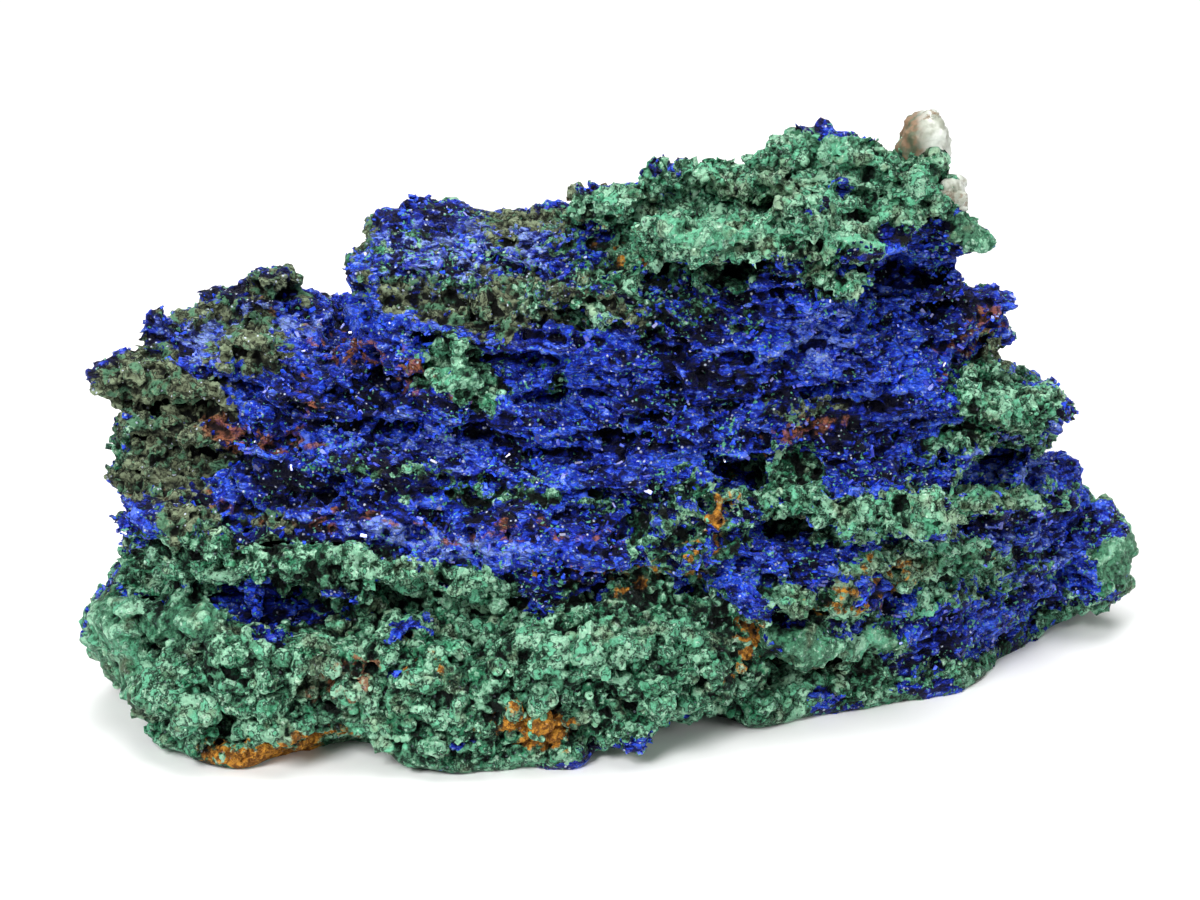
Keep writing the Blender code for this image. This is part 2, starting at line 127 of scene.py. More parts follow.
# Millimetres right of and above the middle of the view, half sizes, tilt in degrees, and how
# far the patch rises above the speckled border, in mm: below 1 it stays mixed with the rest.
# Each patch covers those before it, but the stains only colour what they lie on.  Bare ground
# is azurite.
PATCHES = [Patch(*row) for row in (
    ("lower_mass_left", "malachite", -43.5, -26.5, 18.5, 11.5, 0, 4),
    ("lower_mass_middle", "malachite", -17, -27.5, 19.5, 10.5, 0, 4),
    ("lower_mass_right", "malachite", 4.5, -24, 15, 9.8, 8, 4),
    ("left_foot", "malachite", -56, -22, 4, 6, 0, 4),
    ("ledge", "malachite", -32, -14.6, 23, 4.2, -7, 4),
    ("ledge_left", "malachite", -51, -13, 5, 4, 20, 3),
    ("ledge_right", "malachite", -15, -17, 7, 4, -10, 3),
    ("under_flank", "malachite", 23, -27.5, 18, 6, 2, 4),
    ("low_right", "malachite", 43, -23.5, 5, 3, 20, 1),
    ("cap", "malachite", 19, 28, 24.5, 7.5, 12, 4),
    ("cap_left", "malachite", 2.3, 26.5, 7, 4.4, 10, 3),
    ("cap_left_under", "malachite", 5, 21.8, 7, 2.8, -8, 3),
    ("cap_right", "malachite", 35, 28.5, 7, 7, 0, 3),
    ("under_cap_lump", "malachite", 26.3, 19.3, 4.0, 3.0, 0, 3),
    ("under_lip", "malachite", 14, 21.6, 8.5, 2.0, -2, 2.5),
    ("cap_corner_lobe", "malachite", 43.4, 24.5, 2.6, 2.6, 0, 2),
    ("shelf_crust", "olive", -50.5, 7.0, 8.6, 4.4, -10, 2.5),
    ("second_lobe", "olive", -51, -0.6, 8.6, 4.8, -8, 2.5),
    ("second_lobe_green", "malachite", -56.5, 0.6, 3, 2.6, 0, 1),
    ("band_olive", "olive", -38.6, -6.9, 2.8, 1.5, -12, 1),
    ("lip_lump", "olive", -40, 12.6, 4.4, 2.6, 12, 2),
    ("far_lobe", "olive", -36.5, 19.4, 4.2, 1.8, 10, 1.2),
    ("far_shelf_edge", "olive", -46, 16, 5, 1.2, 6, 0.8),
    ("small_lump", "olive", -48.5, -8, 3.4, 2.6, 0, 2),
    ("small_lump_green", "malachite", -45, -10, 4, 1.6, 0, 1),
    ("block_band", "olive", -11, 17.2, 15.5, 3, -3, 0.5),
    ("block_band_core", "olive", -15, 17.6, 5.5, 1.8, 0, 1.4),
    ("block_band_green", "malachite", -4, 16.4, 6, 1.6, -6, 0.4),
    ("block_rim", "olive", -27.6, 24, 3, 2, 10, 0.2),
    ("block_top_mint", "malachite", -18, 22.4, 9, 2.4, -4, -0.5),
    ("green_patch", "malachite", -16.6, 9.4, 5.4, 4.2, -15, 3),
    ("saddle", "olive", -9, 26.5, 5.5, 2.2, -5, 2),
    ("green_dot", "malachite", -5, 7.5, 1.1, 1.3, 0, 2),
    ("face_speckle", "malachite", 8, 3, 14, 9, 0, -1.2),
    ("centre_speckle", "malachite", 10.3, -9, 7, 6, 20, 0.2),
    ("upper_speckle", "malachite", 6, 16.5, 11, 3, -6, -0.1),
    ("band_speckle", "malachite", -12, -4.6, 16, 1.2, -6, 0.3),
    ("right_crust", "olive", 45.4, 10.4, 3.4, 1.8, -35, 1.5),
    ("rust_crust", "olive", 24.6, 4.4, 4.2, 1.3, 6, 0.8),
    ("row_top", "malachite", 46.5, 5.2, 6.8, 4.6, -20, 3),
    ("row_top_tail", "malachite", 41, 0.8, 4.5, 2, 35, 2),
    ("row_left", "malachite", 21, -3, 5.5, 3, 0, 1.4),
    ("row_wide", "malachite", 30.4, -7, 14.4, 3.4, 3, 3),
    ("row_wide_right", "malachite", 44, -5.4, 10.5, 2.3, 4, 3),
    ("row_low", "malachite", 37.5, -13.6, 10.8, 3, 6, 3),
    ("row_low_left", "malachite", 26.4, -17.6, 8.5, 2.1, -8, 3),
    ("row_low_lump", "malachite", 38.5, -17.8, 2.6, 2.6, 0, 3),
    ("mound_cluster", "malachite", 23.5, -22, 6, 2.8, -6, 4),
    ("right_tip", "malachite", 60, -12.6, 3.0, 5.6, 8, 3),
    ("right_tip_under", "malachite", 54, -18.5, 5, 1.6, 12, 1.5),
    ("flank_speckle", "malachite", 47, -18, 9, 5, 15, 0.1),
    ("gap_blue_left", "azurite", -37, -18.2, 8.6, 2.6, -8, 2),
    ("gap_blue_right", "azurite", -21.8, -21.1, 3.2, 1.2, 8, 2),
    ("mass_blue", "azurite", -22.6, -26.9, 0.8, 1, 0, 1),
    ("mass_blue_low", "azurite", -15.2, -32.4, 1.6, 0.8, 0, 1),
    ("flank_nose", "azurite", 17, -16.4, 2.6, 3.2, 0, 3),
    ("nose_left", "azurite", 9.5, -16, 1.4, 1.4, 0, 2),
    ("row_gap_top", "azurite", 50.5, -1.8, 5.2, 2, -25, 3),
    ("row_gap_left", "azurite", 23.5, -13.2, 5.4, 2.6, -28, 3),
    ("row_gap_right", "azurite", 51, -9.6, 10.3, 2.2, 4, 3),
    ("row_gap_middle", "azurite", 33, -17, 4, 1.6, 0, 2),
    ("low_blue", "azurite", 40, -21.5, 8.5, 3.2, 22, 0.8),
    ("low_blue_edge", "azurite", 50, -16, 6, 2.2, 20, 1.2),
    ("bottom_blue", "azurite", 27, -29.5, 3.2, 1, 0, 1),
    ("bottom_blue_right", "azurite", 39, -27.4, 6, 1.2, 6, 0.8),
    ("teal_patch", "malachite", 32.2, -22.6, 3, 1.9, 4, 3),
    ("cap_blue", "azurite", 27.5, 29.6, 0.9, 1.1, 0, 1),
    ("cap_blue_low", "azurite", 25.2, 27.6, 1.4, 0.7, -20, 1),
    ("cap_knob", "azurite", 26.4, 37.9, 2.4, 0.9, 0, 2),
    ("cap_left_knob", "azurite", 5.3, 32.1, 2.1, 1.4, 5, 2),
    ("cap_corner_blue", "azurite", 37.5, 22.4, 5.6, 3.2, -20, 3),
    ("cap_lip_blue", "azurite", -1, 24.2, 3, 0.9, 0, 1),
    ("foot_ochre", "limonite", -38.5, -34.6, 7.4, 1.9, 13, 2),
    ("front_ochre", "limonite", -8, -31.6, 4, 1.8, -12, 3),
    ("upper_vein", "limonite", 13, -7, 2.4, 0.7, 60, 0.5),
    ("middle_vein", "limonite", 12, -10, 1.4, 0.7, 20, 0.4),
    ("lower_vein", "limonite", 16, -23, 0.8, 2.6, -25, 1),
    ("row_ochre", "limonite", 34.2, -14.2, 3, 1.2, -10, -0.5),
    ("row_low_ochre", "limonite", 29, -17.4, 2.8, 1.0, 10, -0.5),
    ("mass_rim_ochre", "limonite", 3, -14.5, 6, 1.0, 4, -0.7),
    ("row_specks", "limonite", 35, -11, 10, 5, 4, -1.2),
    ("mass_specks", "limonite", -20, -25.5, 2.6, 3, 0, -0.9),
    ("under_cap_specks", "limonite", 0.6, 22.6, 2.4, 1.6, 0, -0.8),
    ("rust_patch", "rust", 23.6, 1.7, 3.6, 1.0, 10, 0.7),
    ("lobe_rust", "rust", -43.6, 2.0, 3.2, 1.7, -18, 1.6),
    ("crevice_rust", "rust", -28, 11.2, 4.4, 0.4, -25, 0.2),
    ("face_vein", "rust", -34, 5.4, 0.4, 2.0, 0, 0.3),
    ("block_vein", "rust", -22.8, 9.2, 0.5, 1.8, 20, 0.4),
    ("mass_rust", "rust", -29.5, -26.5, 3.8, 2.8, 0, -0.2),
    ("right_brown", "rust", 44.8, 15, 1.9, 1.1, 0, 1.2),
    ("right_brown_low", "rust", 41.6, 11.8, 2.2, 0.7, 30, 0.3),
    ("line_rust", "rust", -37, 0.9, 4.4, 0.5, -6, 0.5),
    ("band_rust", "rust", -24, -8, 9, 0.3, -6, 0.0),
)]
STAINS = ("limonite", "rust")
MINERALS = ("malachite", "olive", *STAINS)
# Depth (mm) that every mineral has before its patches are laid: far outside all of them.
FAR_OUTSIDE = -12.0

# Spots are measured as patches are.  Tints lie over whatever mineral is there, and amount is
# their strength.
Spot = namedtuple("Spot", "name right up half_length half_height tilt amount")
TINTS = {
    # Fresh royal-blue azurite, and partly painted light on the bands that face up.
    "bright": (
        ("blue_band", -15, -11, 19, 3, -8, 1.0),
        ("shelf_blue", -40, 8.8, 5, 2, 0, 1.0),
        ("lobe_blue", -42.6, -3.2, 3.4, 2.4, 0, 1.0),
        ("lobe_blue_lower", -40, -7, 6, 1.6, 5, 0.7),
        ("block_left", -26, 15, 5, 4, 0, 0.9),
        ("face_royal", -9, 6.4, 12, 2, -6, 1.0),
        ("right_royal", 20, 12, 9, 3, 4, 0.9),
        ("centre_royal", 6, -1, 8, 2, -4, 0.9),
        ("flank_royal", 29, -11.2, 10, 1.8, 4, 0.9),
        ("right_blue", 30, 10, 12, 9, 0, 0.7),
        ("block_front", -4, 9, 12, 4, -6, 0.7),
        ("face_blue", -22, 1, 12, 3, -5, 0.5),
        ("cap_shadow_blue", 23, 13.5, 8, 4.5, -10, 0.6),
        ("nose_blue", 17, -16.5, 3, 3.6, 0, 1.0),
        ("gap_blue", -40, -18, 11, 2.4, -8, 0.9),
        ("cap_corner", 35, 22.6, 3, 2, -30, 1.0),
        ("row_blue", 42, -19, 12, 5, 20, 0.5),
    ),
    # Painted sheen: pale, greyish blue painted on the tops and ridges of the azurite, where light
    # catches them.
    "sheen": (
        ("block_top", -15, 23, 14, 5.6, 0, 1.0),
        ("band_sheen", -20, -10, 17, 3, -8, 0.8),
        ("face_sheen", -22, 0, 12, 3.4, -6, 0.6),
        ("shelf_sheen", -42, 14, 13, 3.4, 4, 1.0),
        ("cap_under_sheen", 26, 12, 7, 4, -10, 0.6),
        ("right_sheen", 47, 2, 8, 12, 0, 0.6),
        ("flank_sheen", 48, -11, 10, 5, 0, 0.5),
    ),
    "shade": (
        ("dark_right", 33, 3, 6, 5, 0, 0.7),
        ("dark_face", 2, -2, 16, 3, -4, 0.4),
        ("dark_crevice", -29, 9, 7, 3, -20, 0.6),
    ),
    # Pale malachite: mint crust, and partly painted light on lips and tops that face up.
    "pale": (
        ("ledge_mint", -27, -13, 8, 2.6, -6, 1.0),
        ("ledge_mint_right", -17, -15, 8, 2.6, -10, 1.0),
        ("ledge_mint_left", -44, -13.4, 9, 2.6, 4, 0.9),
        ("mound_mint", -48.5, -19.5, 4.6, 3.4, 0, 0.4),
        ("block_mint", -18, 22.4, 10, 3, -4, 1.0),
        ("foot_mint", -56, -22, 4, 7, 0, 0.4),
        ("cap_lip", 17, 25.4, 15, 3.4, 6, 1.0),
        ("cap_flake", 30, 23.8, 3.6, 1, -14, 1.0),
        ("cap_right_face", 35, 28.5, 6, 5, 0, 0.6),
        ("cap_top_pale", 20, 31, 24, 6, 10, 1.0),
        ("row_mint", 46.5, 6.5, 5.5, 3.5, -20, 0.8),
        ("row_wide_mint", 33, -7, 12, 3, 3, 0.8),
        ("row_right_mint", 45, -5, 11, 2.6, 4, 1.0),
        ("row_low_mint", 36, -13.4, 11, 2.8, 6, 1.0),
        ("row_low_left_mint", 26.4, -17, 8, 2.2, -8, 0.8),
        ("lump_mint", 38.5, -17.8, 2.8, 2.8, 0, 1.0),
        ("tip_mint", 60, -12.6, 3.2, 6, 8, 0.35),
        ("teal_mint", 32.2, -22.6, 2.8, 1.8, 4, 1.0),
        ("mass_mint", 2, -22, 12, 5, 8, 0.6),
        ("mass_mint_left", -44, -28, 12, 5, -10, 0.45),
        ("patch_mint", -17.5, 8.6, 3, 1.8, -35, 0.9),
    ),
    "smooth": (
        ("mound_smooth", -48.5, -19.8, 5.6, 4, 0, 0.7),
        ("foot_smooth", -56.5, -21, 3.6, 6, 0, 0.65),
        ("flank_smooth", 23.5, -22, 6, 2.8, -6, 0.8),
        ("teal_smooth", 32.2, -22.6, 2.8, 1.8, 4, 1.0),
        ("tip_smooth", 60, -12.6, 3.2, 6, 8, 0.8),
        ("flake_smooth", 30, 23.8, 3.4, 1, -14, 0.9),
        ("lip_smooth", 13, 24.6, 7, 2.2, 0, 0.6),
        ("mound_low_smooth", -55, -27, 4, 3, 30, 0.5),
        ("patch_smooth", -16.6, 9.4, 4.6, 2.8, -15, 0.35),
        ("corner_smooth", 43.6, 24.6, 3.6, 3.6, 0, 0.6),
        ("knob_smooth", 26.4, 36.5, 4.5, 3, 0, 0.8),
    ),
    "earth": (
        ("cap_top_earth", 19, 30.4, 13, 2.6, 12, 0.7),
        ("cap_under_earth", 22, 22, 10, 2, -4, 0.6),
        ("saddle_earth", -9, 27, 5, 2, 0, 1.0),
        ("shelf_earth", -50, 4, 9, 8, 0, 0.5),
        ("mass_earth", -29, -25, 8, 5, 0, 0.5),
        ("row_earth", 30, -15, 12, 4, 0, 0.6),
        ("row_wide_earth", 40, -5, 12, 3, 3, 0.5),
    ),
    "round": (
        ("mass_round", -30, -27, 28, 11, 0, 0.8),
        ("mass_right_round", 6, -26, 12, 7, 10, 0.6),
    ),
}
# A tint or a relief rises inwards from its edge, at a rate that would take it to this many times
# its full strength in the middle, and is held where it is full.
TINT_RISE = 2.0
RELIEF_RISE = 2.2

# Lips and lobes that stand out of the front, and hollows and gaps that go into it: amount is how
# far a spot stands out in mm, and is negative where it goes in.
RELIEFS = (
    ("ledge_lip", -32, -12.8, 21, 1.9, -6, 1.8),
    ("cap_lip_left", 9.8, 24.3, 6.4, 2.2, -3, 2.6),
    ("cap_lip_right", 24.1, 26.6, 7.4, 1.6, 8, 2.6),
    ("block_band_lip", -12.6, 17.2, 13, 1.7, -4, 1.0),
    ("row_top_lip", 45.9, 5.2, 6, 3, -20, 1.4),
    ("row_wide_lip", 38.5, -7, 16, 1.8, 3, 2.6),
    ("row_low_lip", 36, -13.4, 10, 1.7, 6, 2.2),
    ("row_low_left_lip", 25.3, -17.2, 7, 1.6, -6, 1.3),
    ("mound_left", -48.5, -19.8, 5, 3.6, 0, 2.4),
    ("mound_far_left", -56, -20, 3, 3, 0, 0.8),
    ("mound_low", -53.4, -28, 2.6, 2.4, 0, 1.2),
    ("mound_cluster_swell", 23.5, -21.8, 5.6, 2.6, -6, 1.8),
    ("mound_lump", 38.5, -17.6, 2.6, 2.6, 0, 1.4),
    ("blue_band_lip", -15, -11, 18, 1.7, -7, 1.4),
    ("nose_swell", 17, -17.6, 2.8, 3.6, 0, 1.8),
    ("shelf_lip", -50, 7.6, 8.4, 1.5, -6, 1.6),
    ("second_lobe_lip", -50, 2.4, 7.4, 1.9, 0, 1.4),
    ("mass_swell", 0, -21, 13, 6, 8, 1.6),
    ("mass_swell_left", -40, -27, 8, 5, -20, 1.4),
    ("cap_fill_left", 7.5, 31.4, 3.8, 3, 10, 2.6),
    ("cap_left_knob_swell", 5.2, 31.0, 3.6, 2.4, 0, 0.9),
    ("peak_fill_left", 22.6, 35.2, 3.4, 2.4, 20, 1.6),
    ("peak_fill_right", 29.4, 35.4, 3.4, 2.4, -20, 1.4),
    ("cap_fill_right", 18.9, 33.0, 4, 3, 10, 2.0),
    ("corner_lobe", 43.6, 24.6, 2.8, 2.8, 0, 1.6),
    ("flank_fill", 54.6, -3.5, 4, 7, 10, 2.6),
    ("patch_swell", -16.6, 9.6, 4.6, 3, -15, 1.0),
    ("cap_recess", 19.3, 22.2, 4.4, 1.5, 0, -2.8),
    ("under_cap_swell", 26.3, 19.3, 3.2, 2.6, 0, 1.8),
    ("under_lip_swell", 9, 20.6, 4, 1.6, 0, 1.2),
    ("cap_right_recess", 34, 20.4, 7, 1.6, -8, -2.6),
    ("cap_left_recess", 8, 19.6, 5, 0.9, -6, -1.8),
    ("shelf_crevice", -29, 10.3, 6.6, 1.2, -25, -4.0),
    ("ledge_gap_left", -23.5, -17.4, 6, 1.2, -14, -3.2),
    ("ledge_gap_right", -14, -18.2, 5, 0.9, -2, -2.2),
    ("ledge_recess", -37, -17.6, 9, 2.4, -8, -2.4),
    ("shelf_notch", -53, 4.8, 7.6, 0.9, -14, -4.4),
    ("mound_cave", 23.3, -25.1, 5.8, 1.6, -5, -4.6),
    ("mass_hole", -43.9, -31.6, 1.3, 1.5, 0, -4.0),
    ("row_recess_wide", 38.5, -10.2, 12, 1.1, 4, -3.4),
    ("row_recess_low", 45.3, -15.8, 3.4, 1.4, 10, -3.0),
    ("row_recess_tip", 53.4, -14.9, 2.4, 1.2, 0, -2.8),
    ("face_crevice_high", -5.2, 5.2, 5.6, 1.0, -12, -3.2),
    ("face_crevice_left", -12, 1.3, 4, 0.8, -5, -2.8),
    ("face_crevice_right", 2.4, 2.3, 4.6, 0.8, -15, -2.8),
    ("band_crevice", -3, 14.3, 6.4, 0.9, -4, -2.6),
    ("band_under_crevice", -21, 13.6, 4, 0.9, -20, -2.4),
    ("lobe_crevice", -37, 1.2, 6, 0.8, -4, -2.8),
    ("lobe_crevice_low", -34, -4.6, 9, 0.8, -7, -2.6),
    ("band_top_crevice", -20, -7.6, 11, 0.8, -7, -2.6),
    ("flank_crevice", 15.5, -2.3, 4.4, 1.2, 6, -3.2),
    ("flank_crevice_low", 22, -9.6, 5, 0.9, 0, -2.8),
    ("block_gap", -30.4, 15.5, 1.8, 2.6, 0, -2.2),
    ("centre_crevice", 5, -9.5, 2, 3, 30, -2.2),
)


# --- Node trees written as expressions -----------------------------------------------------


class Wire:
    """An output socket on which arithmetic adds Math nodes."""

    def __init__(self, net, socket):
        self.net = net
        self.socket = socket

    def __add__(self, other):
        return self.net.maths("ADD", self, other)

    def __sub__(self, other):
        return self.net.maths("SUBTRACT", self, other)

    def __rsub__(self, other):
        return self.net.maths("SUBTRACT", other, self)

    def __mul__(self, other):
        return self.net.maths("MULTIPLY", self, other)

    def __truediv__(self, other):
        return self.net.maths("DIVIDE", self, other)

    def __rtruediv__(self, other):
        return self.net.maths("DIVIDE", other, self)

    def __pow__(self, other):
        return self.net.maths("POWER", self, other)

    __radd__ = __add__
    __rmul__ = __mul__


class Net:
    """A shader or Geometry Nodes tree under construction."""

    def __init__(self, tree):
        self.tree = tree

    def add(self, kind, settings=None, values=None):
        """Add a node: its settings first, then the value or link of each socket."""
        node = self.tree.nodes.new(kind)
        for name, setting in (settings or {}).items():
            setattr(node, name, setting)
        for name, value in (values or {}).items():
            if isinstance(value, Wire):
                self.tree.links.new(value.socket, node.inputs[name])
            else:
                node.inputs[name].default_value = value
        return node

    def out(self, node, name=0):
        return Wire(self, node.outputs[name])

    def maths(self, operation, a, b=0.0):
        return self.out(self.add("ShaderNodeMath", {"operation": operation}, {0: a, 1: b}))

    def vector(self, operation, a, b=(0, 0, 0)):
        node = self.add("ShaderNodeVectorMath", {"operation": operation}, {0: a, 1: b})
        return self.out(node, "Value" if operation == "DOT_PRODUCT" else "Vector")

    def scaled(self, a, factor):
        node = self.add("ShaderNodeVectorMath", {"operation": "SCALE"}, {0: a, "Scale": factor})
        return self.out(node, "Vector")

    def parts(self, a):
        node = self.add("ShaderNodeSeparateXYZ", values={0: a})
        return [self.out(node, axis) for axis in range(3)]

    def joined(self, x, y, z):
        return self.out(self.add("ShaderNodeCombineXYZ", values={0: x, 1: y, 2: z}))

    def ramp(self, value, low, high, to_low=0.0, to_high=1.0):
        """Map value smoothly from low..high to to_low..to_high, held at both ends."""
        values = {"Value": value, 1: low, 2: high, 3: to_low, 4: to_high}
        settings = {"interpolation_type": "SMOOTHSTEP"}
        return self.out(self.add("ShaderNodeMapRange", settings, values))

    def mix_value(self, factor, a, b):
        values = {0: factor, 2: a, 3: b}
        return self.out(self.add("ShaderNodeMix", {"data_type": "FLOAT"}, values))

    def mix_colour(self, factor, a, b):
        values = {0: factor, 6: a, 7: b}
        return self.out(self.add("ShaderNodeMix", {"data_type": "RGBA"}, values), 2)

    def noise(self, place, size, detail=2.0, rough=0.5):
        """Cloudy noise about 0.5, whose largest swells are as wide as size."""
        values = {"Vector": place, "Scale": 1.0 / size, "Detail": detail, "Roughness": rough}
        return self.out(self.add("ShaderNodeTexNoise", values=values))

    def cells(self, place, size, feature="F1"):
        """A Voronoi node; sockets Distance, Color and Position are read from it."""
        values = {"Vector": place, "Scale": 1.0 / size}
        return self.add("ShaderNodeTexVoronoi", {"feature": feature}, values)

    def chances(self, cell):
        """Three random numbers, each the same all over a Voronoi cell."""
        return self.parts(self.out(cell, "Color"))


class GeometryNet(Net):
    """A Geometry Nodes tree with one geometry in and one out."""

    def __init__(self, name):
        super().__init__(bpy.data.node_groups.new(name, "GeometryNodeTree"))
        for end in ("INPUT", "OUTPUT"):
            self.tree.interface.new_socket("Geometry", in_out=end, socket_type="NodeSocketGeometry")
        self.entry = self.tree.nodes.new("NodeGroupInput")
        self.exit = self.tree.nodes.new("NodeGroupOutput")
        self.geometry = Wire(self, self.entry.outputs[0])
        self.defaults = {}

    def size(self, name, value, subtype="DISTANCE"):
        """Declare a named number input and return its wire."""
        kind = "NodeSocketInt" if isinstance(value, int) else "NodeSocketFloat"
        socket = self.tree.interface.new_socket(name, in_out="INPUT", socket_type=kind)
        if kind == "NodeSocketFloat":
            socket.subtype = subtype
        socket.default_value = value
        self.defaults[socket.identifier] = value
        return Wire(self, self.entry.outputs[name])

    def sizes(self, group, *names):
        """Declare an input for each of these sizes of a property group, under its own label."""
        labels = group.bl_rna.properties
        return [self.size(labels[name].name, getattr(group, name)) for name in names]

    def position(self):
        return self.out(self.add("GeometryNodeInputPosition"))

    def normal(self):
        return self.out(self.add("GeometryNodeInputNormal"))

    def read(self, name, kind="FLOAT"):
        settings = {"data_type": kind}
        return self.out(self.add("GeometryNodeInputNamedAttribute", settings, {"Name": name}))

    def store(self, name, value, kind="FLOAT"):
        settings = {"data_type": kind, "domain": "POINT"}
        values = {"Geometry": self.geometry, "Name": name, "Value": value}
        self.geometry = self.out(self.add("GeometryNodeStoreNamedAttribute", settings, values))

    def shift(self, offset):
        values = {"Geometry": self.geometry, "Offset": offset}
        self.geometry = self.out(self.add("GeometryNodeSetPosition", values=values))

    def blurred(self, value, passes):
        """A vector softened by averaging it with its neighbours this many times."""
        settings = {"data_type": "FLOAT_VECTOR"}
        values = {"Value": value, "Iterations": passes}
        return self.out(self.add("GeometryNodeBlurAttribute", settings, values))

    def finish(self, material):
        """Realize the instances, set the material and close the tree."""
        realized = self.out(self.add("GeometryNodeRealizeInstances", values={0: self.geometry}))
        values = {"Geometry": realized, "Material": material}
        painted = self.add("GeometryNodeSetMaterial", values=values)
        self.tree.links.new(painted.outputs[0], self.exit.inputs[0])


def modified(mesh, name, kind, settings, inputs):
    """Put one modifier on a mesh and return the evaluated result as a plain mesh."""
    host = bpy.data.objects.new(name, mesh)
    bpy.context.scene.collection.objects.link(host)
    modifier = host.modifiers.new(name, kind)
    for setting, value in settings.items():
        setattr(modifier, setting, value)
    for identifier, value in inputs.items():
        modifier[identifier] = value
    evaluated = host.evaluated_get(bpy.context.evaluated_depsgraph_get())
    result = bpy.data.meshes.new_from_object(evaluated)
    result.name = name
    bpy.data.objects.remove(host)
    if not result.polygons:
        raise RuntimeError(f"{name} came out empty")
    return result


def grown(mesh, net, name):
    """Run a Geometry Nodes tree on a mesh."""
    return modified(mesh, name, "NODES", {"node_group": net.tree}, net.defaults)


def remeshed(mesh, voxel, name):
    """Rebuild a closed mesh in even quads."""
    settings = {"mode": "VOXEL", "voxel_size": voxel, "use_smooth_shade": True}
    return modified(mesh, name, "REMESH", settings, {})


# --- Sizes and colours a user would change -------------------------------------------------


def srgb(red, green, blue):
    """Linear colour with alpha from 0-255 display values."""
    levels = [channel / 255 for channel in (red, green, blue)]
    linear = [c / 12.92 if c <= 0.04045 else ((c + 0.055) / 1.055) ** 2.4 for c in levels]
    return (*linear, 1.0)


def number(name, description, default, least=0.0, **kind):
    """A number property."""
    return bpy.props.FloatProperty(
        name=name, description=description, default=default, min=least, **kind
    )


def length(name, description, default_mm):
    """A length property whose default is given in millimetres."""
    kind = {"precision": 5, "subtype": "DISTANCE", "unit": "LENGTH"}
    return number(name, description, default_mm * MM, **kind)


def power(name, description, default):
    """A property for the power of a light, in watts."""
    return number(name, description, default, subtype="POWER", unit="POWER")


def colour(name, description, red, green, blue):
    """A colour property whose default is given in 0-255 display values."""
    return bpy.props.FloatVectorProperty(
        name=name, description=description, default=srgb(red, green, blue), size=4,
        min=0.0, max=1.0, subtype="COLOR",
    )


class CrustSizes(bpy.types.PropertyGroup):
    coarse_voxel: length("Coarse Mesh", "Mesh step on which the beds are broken", 0.5)
    fine_voxel: length("Fine Mesh", "Mesh step on which the minerals grow", 0.36)
    bed_thickness: length("Bed Thickness", "Thickness of one thin bed", 1.7)
    plate_length: length("Plate Length", "Length of the plates a bed breaks into", 7.0)
    plate_throw: length("Plate Throw", "How far a plate stands out or back", 1.0)
    crack_depth: length("Crack Depth", "Depth of the cracks between plates", 0.9)
    ragged_size: length("Ragged Size", "Size of the ragged swells", 6.0)
    ragged_depth: length("Ragged Depth", "Depth of the ragged swells", 1.9)
    gap_length: length("Gap Length", "Length of the open gaps between beds", 9.0)
    gap_thickness: length("Gap Thickness", "Spacing of the open gaps", 2.2)
    gap_depth: length("Gap Depth", "Depth of the open gaps between beds", 2.8)
    wide_stray: length("Wide Stray", "How far a patch border wanders", 1.5)
    fine_stray: length("Fine Stray", "How far a patch border frays", 0.7)
    cluster_size: length("Cluster Size", "Width of the clusters of green crust", 4.8)
    cluster_depth: length("Cluster Depth", "Depth of the gaps between clusters", 1.8)
    lump_size: length("Lump Size", "Width of the malachite lumps", 2.0)
    lump_height: length("Lump Height", "Height of the malachite lumps", 0.8)
    grain_size: length("Grain Size", "Width of the grains on green and olive crust", 0.95)
    grain_height: length("Grain Height", "Height of those grains", 0.4)
    block_size: length("Block Size", "Width of the azurite blocks", 1.5)
    block_height: length("Block Height", "Height of the azurite blocks", 0.48)
    lamina_thickness: length("Lamina Thickness", "Thickness of the azurite laminae", 0.9)
    lamina_height: length("Lamina Height", "How far the laminae stand out", 0.75)
    pit_size: length("Pit Size", "Width of the pits", 3.0)
    pit_depth: length("Pit Depth", "Depth of the pits", 1.1)


class MineralColours(bpy.types.PropertyGroup):
    # The deep and dark tones are reached at random and as painted shade in hollows; the pale and
    # bright tones at random and as painted highlights on ridges.
    azurite_deep: colour("Azurite Deep", "Azurite in shade and in hollows", 10, 22, 92)
    azurite_mid: colour("Azurite", "Broken azurite", 28, 52, 198)
    azurite_bright: colour("Azurite Bright", "Fresh azurite", 54, 100, 255)
    # The pale blue of the painted sheen on azurite ridges and tops.
    azurite_sheen: colour("Azurite Sheen", "Pale rubbed azurite on ridges", 146, 170, 238)
    malachite_dark: colour("Malachite Dark", "Malachite in hollows", 18, 56, 40)
    malachite_mid: colour("Malachite", "Malachite crust", 80, 136, 104)
    malachite_pale: colour("Malachite Pale", "Malachite on ridges", 156, 210, 176)
    malachite_emerald: colour("Malachite Emerald", "Deep green malachite in patches", 30, 116, 78)
    malachite_teal: colour("Malachite Teal", "Smooth fresh malachite", 108, 192, 152)
    olive_dark: colour("Olive Dark", "Olive crust in hollows", 14, 18, 13)
    olive_mid: colour("Olive", "Olive granular crust", 86, 92, 70)
    olive_pale: colour("Olive Pale", "Olive crust on ridges", 142, 158, 126)
    limonite: colour("Limonite", "Ochre limonite", 218, 152, 54)
    limonite_dark: colour("Limonite Dark", "Limonite in hollows", 138, 86, 32)
    rust: colour("Rust", "Rust-brown iron stain", 156, 94, 64)
    rust_dark: colour("Rust Dark", "Iron stain in hollows", 44, 28, 24)
    quartz: colour("Quartz", "Milky quartz", 206, 210, 202)
    quartz_stain: colour("Quartz Stain", "Brown stain on the quartz", 124, 100, 76)


